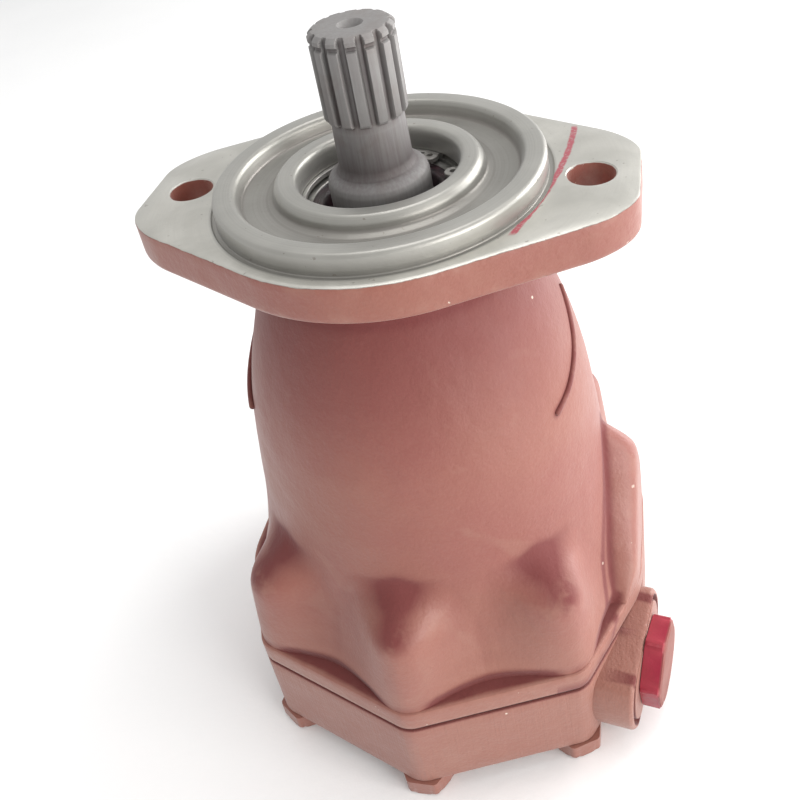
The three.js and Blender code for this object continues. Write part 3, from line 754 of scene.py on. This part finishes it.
def post_shade(theta, outline, depth):
    """Painted shade in the hollow above each corner post."""
    darkening = 0
    for ridge in RIDGES:
        turn = wrap(theta - ridge)
        facing = np.cos(turn) > 0.5
        near = np.exp(-(outline * np.sin(turn) * facing / 8.0) ** 2) * facing
        darkening = darkening + 1.2 * near * step(130, 144, depth) * step(159, 150, depth)
    return darkening


def pad_shade(x, y, depth):
    """Painted shade in the valley round the arched pad."""
    valley = np.where(x > 60, np.abs(depth - curve(PAD_RIM, np.abs(y - PAD_MIDDLE))), 99)
    return 0.9 * np.clip(1.5 - valley / 2.6, 0, 1)


def bead_shade_and_dirt(points):
    """Painted shade and dirt on and beside the two beads."""
    darkening = np.zeros(len(points))
    for side in (1, -1):
        for spot in bead_path(side):
            away = np.linalg.norm(points - spot, axis=1)
            darkening = np.maximum(darkening, np.clip(1.6 - away / 1.9, 0, 1))
    return darkening


def store_casting_wear_and_shade(obj):
    """Edge wear from the mesh; painted shade in the hollows, a painted shadow under the flange, painted
    shade and dirt along the beads.
    """
    bend = curvature(obj.data, 12) / 0.35
    points = positions(obj.data) / MM
    x, y, z = points.T
    theta = np.arctan2(y, x)
    radius = np.hypot(x, y)
    outline = outline_radius(theta)
    set_back = np.clip((outline - radius) / 2.0 - 0.5, 0, 1)
    # painted shade on the set-back ledge above the lip, in the hollows above the posts and in the valley
    # round the pad
    ledge = 1.3 * set_back * np.clip(1.7 - np.abs(z - FOOT - LIP) / 3.2, 0, 1)
    hollow = ledge + post_shade(theta, outline, FACE - z) + pad_shade(x, y, FACE - z)
    # painted shadow that the flange casts on the body below it
    flange_shadow = 0.80 * step(FACE - 100, FACE - 25, z) * (z < FACE - FLANGE_THICK - 0.5)
    seam = 0.9 * step(FOOT + 0.9, FOOT + 0.2, z)
    dirt_and_shade = np.clip(-bend, 0, 1) + (hollow + flange_shadow + seam) * (radius > 50)
    store(obj.data, "edge", np.clip(bend, 0, 1))
    store(obj.data, "dirt_and_shade", np.clip(np.maximum(dirt_and_shade, bead_shade_and_dirt(points)), 0, 1))


def store_cover_wear_and_shade(obj):
    """Rubbed lower rim; grime at the gasket; dirt and painted shade in the ring groove of each port."""
    points = positions(obj.data) / MM
    z = points[:, 2]
    theta = np.arctan2(points[:, 1], points[:, 0])
    reach = np.hypot(points[:, 0], points[:, 1]) - outline_radius(theta)
    dirt_and_shade = 0.9 * step(COVER_HIGH - 0.9, COVER_HIGH - 0.2, z) * (reach < 0.3)
    # dirt and painted shade in the ring groove round each port's seat
    for side in (1, -1):
        face, out = (np.array(v) for v in port_place(side))
        level = (points - face) @ out
        away = np.linalg.norm(points - face - level[:, None] * out, axis=1)
        in_ring = (away > PORT_GROOVE[0] - 0.1) & (away < PORT_GROOVE[1] + 0.1)
        dirt_and_shade = np.maximum(dirt_and_shade, in_ring & (level < -0.3) & (level > -4))
    store(obj.data, "edge", 0.6 * (reach > -2.5) * step(COVER_LOW + 2.4, COVER_LOW + 0.8, z))
    store(obj.data, "dirt_and_shade", np.clip(dirt_and_shade, 0, 1))


# ---- materials -----------------------------------------------------------
class Graph:
    """One node material: short calls that add a node and give back its output."""

    def __init__(self, name):
        self.material = bpy.data.materials.new(name)
        self.material.use_nodes = True
        self.tree = self.material.node_tree
        self.shader = self.tree.nodes["Principled BSDF"]
        self.place = self.node("TexCoord").outputs["Object"]
        parts = self.node("SeparateXYZ", {0: self.place})
        self.x, self.y, self.z = parts.outputs
        squares = [self.times(axis, axis) for axis in (self.x, self.y)]
        self.radius = self.math("SQRT", self.plus(*squares))

    def node(self, kind, inputs=None, **settings):
        node = self.tree.nodes.new("ShaderNode" + kind)
        for key, value in settings.items():
            setattr(node, key, value)
        for key, value in (inputs or {}).items():
            self.put(node.inputs[key], value)
        return node

    def put(self, socket, value):
        if isinstance(value, bpy.types.NodeSocket):
            self.tree.links.new(value, socket)
        elif isinstance(value, tuple) and len(value) == 3 and socket.type == "RGBA":
            socket.default_value = (*value, 1)
        else:
            socket.default_value = value

    def math(self, operation, a, b=0.0, clamp=False):
        return self.node("Math", {0: a, 1: b}, operation=operation, use_clamp=clamp).outputs[0]

    def times(self, a, b):
        return self.math("MULTIPLY", a, b)

    def plus(self, a, b):
        return self.math("ADD", a, b)

    def noise(self, scale, detail=3.0, rough=0.55, place=None, distortion=0.0):
        inputs = {
            "Vector": place or self.place, "Scale": scale, "Detail": detail, "Roughness": rough,
            "Distortion": distortion,
        }
        return self.node("TexNoise", inputs).outputs[0]

    def stretched(self, x, y, z):
        return self.node("VectorMath", {0: self.place, 1: (x, y, z)}, operation="MULTIPLY").outputs[0]

    def turned(self, across, along):
        """Place for the marks that turning leaves, in rings round the shaft axis."""
        inputs = {0: self.times(self.radius, across), 1: self.times(self.z, along)}
        return self.node("CombineXYZ", inputs).outputs[0]

    def band(self, value, low, high):
        """0 below low, 1 above high, smooth between; low may be the larger."""
        inputs = {"Value": value, "From Min": low, "From Max": high}
        return self.node("MapRange", inputs, interpolation_type="SMOOTHSTEP").outputs[0]

    def mix(self, amount, a, b):
        """Colour mix."""
        node = self.node("Mix", data_type="RGBA")
        for socket, value in ((node.inputs[0], amount), (node.inputs[6], a), (node.inputs[7], b)):
            self.put(socket, value)
        return node.outputs[2]

    def blend(self, amount, a, b):
        """Plain number mix."""
        node = self.node("Mix", {0: amount, 2: a, 3: b}, data_type="FLOAT")
        return node.outputs[0]

    def attribute(self, name):
        return self.node("Attribute", attribute_name=name).outputs["Fac"]

    def bump(self, height):
        """Normal for a height in metres."""
        return self.node("Bump", {"Height": height, "Strength": 1.0, "Distance": 1.0}).outputs[0]

    def finish(self, color, roughness, metallic, normal, **constants):
        inputs = {"Base Color": color, "Roughness": roughness, "Metallic": metallic, "Normal": normal}
        for key, value in inputs.items():
            self.put(self.shader.inputs[key], value)
        for key, value in constants.items():
            self.shader.inputs[key.replace("_", " ")].default_value = value
        return self.material


PAINT = (0.235, 0.066, 0.050)
PAINT_WARM = (0.250, 0.082, 0.056)
# dark colour for dirt and painted shade
PAINT_DEEP = (0.130, 0.015, 0.015)
PAINT_DUST_AND_LIGHT = (0.300, 0.140, 0.102)
CHIP = (0.66, 0.56, 0.47)
BARE = (0.55, 0.535, 0.49)
BARE_DARK = (0.41, 0.40, 0.36)
BARE_PILOT_SHADE = (0.20, 0.195, 0.18)
BARE_RING = (0.42, 0.41, 0.38)
BARE_GRIME_AND_SHADE = (0.12, 0.10, 0.09)
BARE_WORN = (0.62, 0.61, 0.57)
BARE_PIT = (0.16, 0.13, 0.11)
CRAYON = (0.42, 0.055, 0.085)
# light and dark tone of each steel
SHAFT_STEEL = ((0.21, 0.205, 0.20), (0.17, 0.155, 0.155))
SPRING_STEEL = ((0.36, 0.35, 0.33), (0.22, 0.21, 0.20))
BEARING_STEEL = ((0.46, 0.46, 0.45), (0.34, 0.34, 0.33))
BLOCK_IRON = ((0.33, 0.32, 0.31), (0.22, 0.21, 0.20))
PAINT_SHEEN = {"Specular_IOR_Level": 0.55, "Sheen_Weight": 0.16, "Sheen_Roughness": 0.5}


def paint_layer(g, streaks):
    """Colour, roughness and height of the sprayed primer, with wear, dirt and painted shade from the mesh.
    """
    dirt_and_shade = g.attribute("dirt_and_shade")
    edge = g.attribute("edge")
    cloud = g.noise(14.0, 4.0)
    color = g.mix(g.band(cloud, 0.35, 0.68), PAINT, PAINT_WARM)
    stain = g.times(g.band(g.noise(38.0, 2.0, 0.4, distortion=1.2), 0.60, 0.72), 0.30)
    color = g.mix(stain, color, PAINT_DUST_AND_LIGHT)
    color = g.mix(g.times(g.band(g.noise(900.0, 2.0), 0.3, 0.75), 0.16), color, PAINT_DUST_AND_LIGHT)
    # paler towards the bottom: dust, and painted light for the brighter lower parts
    color = g.mix(g.times(g.band(g.z, 0.125, 0.045), 0.42), color, PAINT_DUST_AND_LIGHT)
    # darker where the mesh holds dirt and painted shade
    color = g.mix(g.times(dirt_and_shade, 0.88), color, PAINT_DEEP)
    rub = g.times(edge, g.band(g.noise(120.0, 4.0), 0.45, 0.7))
    color = g.mix(g.times(rub, 0.45), color, PAINT_DUST_AND_LIGHT)
    chips = g.node("TexVoronoi", {"Vector": g.place, "Scale": 48.0, "Randomness": 1.0}).outputs["Distance"]
    spot = g.times(g.band(chips, 0.045, 0.030), g.band(g.noise(11.0, 1.0), 0.61, 0.64))
    flake = g.times(g.band(edge, 0.7, 1.0), g.band(g.noise(260.0, 3.0), 0.70, 0.74))
    bare = g.math("MAXIMUM", spot, flake, clamp=True)
    color = g.mix(bare, color, CHIP)
    dull = g.plus(g.times(dirt_and_shade, 0.3), 0.36)
    roughness = g.plus(g.times(g.noise(70.0, 3.0), 0.20), dull)
    grain = g.times(g.noise(620.0, 3.0, 0.6), 0.00022)
    swell = g.times(g.noise(75.0, 2.0), 0.0007)
    height = g.plus(grain, swell)
    if streaks:
        lines = g.noise(1.0, 3.0, 0.6, place=g.stretched(950.0, 950.0, 28.0))
        height = g.plus(height, g.times(lines, 0.00028))
        color = g.mix(g.times(g.band(lines, 0.5, 0.75), 0.16), color, PAINT_DUST_AND_LIGHT)
    height = g.math("SUBTRACT", height, g.times(bare, 0.0001))
    return color, roughness, height


def paint_material(name, streaks=False):
    g = Graph(name)
    color, roughness, height = paint_layer(g, streaks)
    return g.finish(color, roughness, 0.0, g.bump(height), **PAINT_SHEEN)


def bare_layer(g):
    """Turned iron: rings round the shaft axis, faint stains, pits, darker on the pilot and inwards as
    painted shade.
    """
    rings = g.noise(1.0, 4.0, 0.65, place=g.turned(1500.0, 300.0))
    stain = g.noise(30.0, 5.0, 0.6, distortion=0.6)
    color = g.mix(g.band(stain, 0.30, 0.72), BARE_DARK, BARE)
    # painted shade on the pilot and inwards, for their dimmer reflections
    pilot_shade = g.band(g.radius, 0.0668, 0.0655)
    color = g.mix(g.times(pilot_shade, 0.66), color, BARE_PILOT_SHADE)
    color = g.mix(g.times(g.band(rings, 0.35, 0.65), 0.22), color, BARE_RING)
    # darker with dirt and painted shade from the mesh
    color = g.mix(g.times(g.attribute("dirt_and_shade"), 0.55), color, BARE_GRIME_AND_SHADE)
    color = g.mix(g.times(g.attribute("edge"), 0.14), color, BARE_WORN)
    pits = g.band(g.noise(420.0, 2.0, 0.5), 0.70, 0.76)
    color = g.mix(g.times(pits, 0.5), color, BARE_PIT)
    roughness = g.plus(g.times(stain, 0.22), 0.30)
    grain = g.times(g.noise(300.0, 3.0), 0.00008)
    return color, roughness, g.plus(g.times(rings, 0.00006), grain)


def crayon_mask(g):
    """Hand-drawn stroke across the +X ear beside the pilot."""
    curve = g.times(g.times(g.y, g.y), -2.5)
    line = g.plus(g.plus(g.times(g.y, 0.19), 0.0667), curve)
    away = g.math("ABSOLUTE", g.math("SUBTRACT", g.x, line))
    wobble = g.times(g.noise(260.0, 3.0), 0.0012)
    stroke = g.band(g.plus(away, wobble), 0.0021, 0.0014)
    ends = g.times(g.band(g.y, -0.0415, -0.039), g.band(g.y, 0.040, 0.037))
    waxy = g.band(g.noise(800.0, 2.0), 0.28, 0.5)
    level = g.band(g.z, FACE * MM + 0.0004, FACE * MM + 0.0002)
    flat = g.times(level, g.band(g.radius, 0.0652, 0.0658))
    covered = g.times(g.plus(g.times(waxy, 0.5), 0.45), flat)
    return g.times(g.times(stroke, ends), covered)


def housing_material():
    """Painted casting whose mounting face and bore are bare machined iron."""
    g = Graph("painted_casting_machined_face")
    color, roughness, height = paint_layer(g, False)
    metal, metal_rough, metal_height = bare_layer(g)
    ragged = g.times(g.math("SUBTRACT", g.noise(120.0, 4.0, 0.6), 0.5), 0.0010)
    beside_pilot = g.times(g.band(g.radius, 0.0668, 0.0662), 0.001)
    level = g.plus(g.plus(g.z, ragged), beside_pilot)
    face = g.band(level, FACE * MM - 0.0006, FACE * MM - 0.0003)
    inside = g.times(g.band(g.radius, 0.046, 0.0455), g.band(g.z, 0.170, 0.171))
    bare = g.math("MAXIMUM", face, inside, clamp=True)
    metal = g.mix(g.times(crayon_mask(g), face), metal, CRAYON)
    color = g.mix(bare, color, metal)
    height = g.blend(bare, height, metal_height)
    roughness = g.blend(bare, roughness, metal_rough)
    return g.finish(color, roughness, g.times(bare, 0.72), g.bump(height), **PAINT_SHEEN)


def steel_material(name, light, dark, roughness=0.30, along=True, oil=0.35):
    """Ground or turned steel with fine marks, oil stains and worn edges."""
    g = Graph(name)
    if along:
        marks = g.noise(1.0, 4.0, 0.6, place=g.stretched(900.0, 900.0, 40.0))
    else:
        marks = g.noise(1.0, 4.0, 0.6, place=g.turned(900.0, 1400.0))
    stain = g.noise(55.0, 5.0, 0.6, distortion=0.8)
    color = g.mix(g.band(marks, 0.3, 0.7), dark, light)
    color = g.mix(g.times(g.band(stain, 0.45, 0.75), oil), color, (0.13, 0.085, 0.07))
    worn = tuple(1.6 * level for level in light)
    color = g.mix(g.times(g.attribute("edge"), 0.4), color, worn)
    # darker with dirt and painted shade from the mesh
    color = g.mix(g.times(g.attribute("dirt_and_shade"), 0.6), color, (0.05, 0.035, 0.035))
    rough = g.plus(g.times(stain, 0.22), roughness - 0.08)
    grain = g.times(g.noise(500.0, 2.0), 0.00003)
    height = g.plus(g.times(marks, 0.00005), grain)
    return g.finish(color, rough, 0.55, g.bump(height))


def plug_material():
    """Thick glossy red on the flats, dusty overspray on the end face."""
    g = Graph("plug_paint_gloss")
    crown = g.attribute("crown")
    cloud = g.noise(110.0, 3.0)
    color = g.mix(g.band(cloud, 0.35, 0.7), (0.20, 0.002, 0.024), (0.27, 0.006, 0.038))
    # darker with dirt and painted shade from the mesh
    color = g.mix(g.times(g.attribute("dirt_and_shade"), 0.5), color, (0.09, 0.002, 0.01))
    color = g.mix(g.times(g.attribute("edge"), 0.45), color, (0.40, 0.08, 0.085))
    dusty = g.mix(g.band(g.noise(60.0, 3.0), 0.3, 0.7), (0.20, 0.075, 0.062), (0.24, 0.105, 0.09))
    color = g.mix(crown, color, dusty)
    gloss = g.plus(g.times(cloud, 0.15), 0.18)
    roughness = g.plus(g.times(crown, 0.28), gloss)
    swell = g.times(g.noise(90.0), 0.0005)
    height = g.plus(g.times(g.noise(450.0, 3.0), 0.00012), swell)
    return g.finish(color, roughness, 0.0, g.bump(height), Specular_IOR_Level=0.14)


def rubber_material():
    g = Graph("nitrile_rubber")
    cloud = g.noise(240.0, 4.0)
    color = g.mix(g.band(cloud, 0.3, 0.7), (0.012, 0.009, 0.010), (0.040, 0.024, 0.026))
    color = g.mix(g.times(g.band(g.noise(80.0, 3.0), 0.55, 0.7), 0.5), color, (0.10, 0.02, 0.03))
    roughness = g.plus(g.times(cloud, 0.3), 0.28)
    return g.finish(color, roughness, 0.0, g.bump(g.times(g.noise(900.0), 0.00006)))


def seal_material():
    """Rubber lip inside a pressed metal case."""
    g = Graph("seal_case_and_rubber")
    case = g.band(g.radius, 0.02745, 0.0276)
    cloud = g.noise(240.0, 4.0)
    rubber = g.mix(g.band(cloud, 0.3, 0.7), (0.012, 0.008, 0.010), (0.045, 0.020, 0.025))
    metal = g.mix(g.band(cloud, 0.3, 0.7), (0.30, 0.29, 0.27), (0.42, 0.41, 0.39))
    color = g.mix(case, rubber, metal)
    roughness = g.plus(g.times(cloud, 0.25), 0.25)
    normal = g.bump(g.times(g.noise(700.0), 0.00006))
    return g.finish(color, roughness, g.times(case, 0.8), normal)


def gasket_material():
    g = Graph("gasket_fibre")
    fibre = g.noise(1.0, 4.0, 0.7, place=g.stretched(900.0, 500.0, 2500.0))
    color = g.mix(g.band(fibre, 0.3, 0.7), (0.012, 0.003, 0.003), (0.040, 0.012, 0.010))
    return g.finish(color, 0.85, 0.0, g.bump(g.times(fibre, 0.0001)))


def bronze_material():
    g = Graph("bearing_bronze")
    marks = g.noise(1.0, 4.0, 0.6, place=g.turned(1100.0, 700.0))
    color = g.mix(g.band(marks, 0.3, 0.7), (0.30, 0.17, 0.06), (0.48, 0.29, 0.12))
    color = g.mix(g.times(g.band(g.noise(70.0, 4.0), 0.5, 0.75), 0.5), color, (0.14, 0.08, 0.04))
    roughness = g.plus(g.times(marks, 0.2), 0.24)
    return g.finish(color, roughness, 0.9, g.bump(g.times(marks, 0.00005)))


def floor_material():
    g = Graph("studio_floor")
    color = g.mix(g.band(g.noise(3.0, 3.0), 0.3, 0.7), (0.86, 0.86, 0.86), (0.89, 0.89, 0.888))
    normal = g.bump(g.times(g.noise(120.0), 0.0002))
    return g.finish(color, 0.85, 0.0, normal, Specular_IOR_Level=0.2)


def dress(obj, material, slot, body, *nodes, angle=32):
    """Gives a piece its shading, its finish, its body and the CAD nodes that it stands for."""
    shade(obj, angle)
    obj.data.materials.clear()
    obj.data.materials.append(material)
    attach(obj, body)
    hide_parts(*nodes)


# ---- pieces --------------------------------------------------------------
def add_casting():
    body = make_housing()
    store_casting_wear_and_shade(body)
    dress(body, housing_material(), "casting_paint", "casing", "housing")
    cover = make_cover()
    store_cover_wear_and_shade(cover)
    dress(cover, paint_material("painted_cover", True), "casting_paint", "casing", "end_cover")


def add_bolts():
    finish = paint_material("painted_bolts")
    for i, ((x, y), turn) in enumerate(zip(bolt_places(), BOLT_TURNS), 1):
        bolt = make_bolt(f"cover_bolt_fine_{i}", x, y, turn * DEG)
        count = len(bolt.data.vertices)
        store(bolt.data, "edge", np.full(count, 0.1))
        store(bolt.data, "dirt_and_shade", np.zeros(count))
        dress(bolt, finish, "casting_paint", "casing", f"cover_bolt_{i}", angle=24)


def store_crown(obj, face, out, height):
    """1 on the end face of a plug, 0 on its flats."""
    points = positions(obj.data) / MM
    level = (points - np.array(face)) @ np.array(out)
    store(obj.data, "crown", step(height - 1.1, height - 0.4, level))


def add_plugs():
    finish = plug_material()
    for letter, side, turn in (("a", 1, 6), ("b", -1, 40)):
        face, out = port_place(side)
        name = f"port_plug_fine_{letter}"
        plug = make_plug(name, face, out, PLUG_FLATS, PLUG_HEAD, PORT_THREAD, 17, turn * DEG)
        store_wear_and_shade(plug, 6)
        store_crown(plug, face, out, GAP + PLUG_HEAD)
        dress(plug, finish, "plug_paint", "casing", f"port_plug_{letter}", angle=24)
    sizes = (DRAIN_FLATS, DRAIN_HEAD, DRAIN_THREAD, 12, 0.2)
    plug = make_plug("drain_plug_fine", DRAIN_PLACE, DRAIN_OUT, *sizes)
    store_wear_and_shade(plug, 6)
    store_crown(plug, DRAIN_PLACE, DRAIN_OUT, GAP + DRAIN_HEAD)
    dress(plug, finish, "plug_paint", "casing", "drain_plug", angle=24)


def add_shaft():
    shaft = make_shaft()
    store_wear_and_shade(shaft, 8, 0.25)
    steel = steel_material("oily_ground_steel", *SHAFT_STEEL, 0.62, True, 0.35)
    dress(shaft, steel, "shaft_steel", "rotating_group", "drive_shaft", angle=28)
    seal = make_seal()
    dress(seal, seal_material(), "black_rubber", "casing", "shaft_seal")
    ring = make_snap_ring()
    store_wear_and_shade(ring, 3)
    spring_steel = steel_material("spring_steel", *SPRING_STEEL, 0.32, False, 0.3)
    dress(ring, spring_steel, "bearing_steel", "casing", "seal_snap_ring")


def finish_cad_nodes():
    """Node materials on the CAD pieces that stay as they are."""
    bearing = steel_material("bearing_steel_ground", *BEARING_STEEL, 0.24, False, 0.2)
    iron = steel_material("block_iron_machined", *BLOCK_IRON, 0.36, False, 0.3)
    steel_nodes = ("dowel_pin", "front_bearing", "rear_bearing", "block_spring", "spring_washer", "piston")
    kinds = [
        (("cover_gasket",), gasket_material()),
        (("port_o_ring", "drain_o_ring"), rubber_material()),
        (("slipper", "valve_plate"), bronze_material()),
        (("cylinder_block", "swash_plate", "shoe_retainer", "ball_guide"), iron),
        (steel_nodes, bearing),
    ]
    for name, obj in NODES.items():
        for prefixes, material in kinds:
            if name.startswith(prefixes) and not obj.hide_render:
                obj.data.materials.clear()
                obj.data.materials.append(material)
                break


# ---- camera, light and floor ---------------------------------------------
CAMERA_AZIMUTH = 18.28 * DEG
CAMERA_ELEVATION = 34.76 * DEG
CAMERA_ROLL = -11.06 * DEG
CAMERA_DISTANCE = 0.404
CAMERA_AIM = Vector((0, 0, 0.1899))
CAMERA_LENS = 43.85
CAMERA_SHIFT = (-0.0062, -0.1162)
LIGHTS = [                                    # name, place, size in metres, watts, colour
    ("key", (1.25, -0.62, 0.50), 1.0, 18, (1.0, 0.985, 0.965)),
    ("haze", (1.0, 0.85, 0.45), 1.0, 20, (1, 1, 1)),
    ("top", (0.1, 0.3, 1.6), 0.9, 8, (1, 1, 1)),
]
LIGHTS_AIM = Vector((0, 0, 0.14))
WORLD_STRENGTH = 0.80
FLOOR_HALF = 4000.0


def add_camera():
    a, e, r = CAMERA_AZIMUTH, CAMERA_ELEVATION, CAMERA_ROLL
    back = Vector((math.sin(a) * math.cos(e), -math.cos(a) * math.cos(e), math.sin(e)))
    level = Vector((math.cos(a), math.sin(a), 0))
    rise = back.cross(level)
    right = math.cos(r) * level + math.sin(r) * rise
    up = math.cos(r) * rise - math.sin(r) * level
    data = bpy.data.cameras.new("camera")
    data.lens = CAMERA_LENS
    data.sensor_width = 36
    data.shift_x, data.shift_y = CAMERA_SHIFT
    data.clip_start = 0.01
    camera = bpy.data.objects.new("camera", data)
    bpy.context.scene.collection.objects.link(camera)
    turn = Matrix((right, up, back)).transposed().to_4x4()
    camera.matrix_world = Matrix.Translation(CAMERA_AIM + back * CAMERA_DISTANCE) @ turn
    bpy.context.scene.camera = camera


def add_area_light(name, place, size, power, color):
    data = bpy.data.lights.new(name, "AREA")
    data.size = size
    data.energy = power
    data.color = color
    light = bpy.data.objects.new(name, data)
    bpy.context.scene.collection.objects.link(light)
    light.location = place
    toward = LIGHTS_AIM - Vector(place)
    light.rotation_euler = toward.to_track_quat("-Z", "Y").to_euler()


def add_studio():
    world = bpy.data.worlds.new("studio")
    bpy.context.scene.world = world
    world.use_nodes = True
    background = world.node_tree.nodes["Background"]
    background.inputs[0].default_value = (1.0, 1.0, 1.0, 1)
    background.inputs[1].default_value = WORLD_STRENGTH
    for light in LIGHTS:
        add_area_light(*light)
    corners = [(x * FLOOR_HALF, y * FLOOR_HALF, 0) for x, y in ((-1, -1), (1, -1), (1, 1), (-1, 1))]
    floor = add_object("floor", corners, [(0, 1, 2, 3)])
    floor.data.materials.append(floor_material())


add_camera()
add_casting()
add_bolts()
add_plugs()
add_shaft()
finish_cad_nodes()
add_studio()
bpy.context.scene.view_settings.view_transform = "Standard"
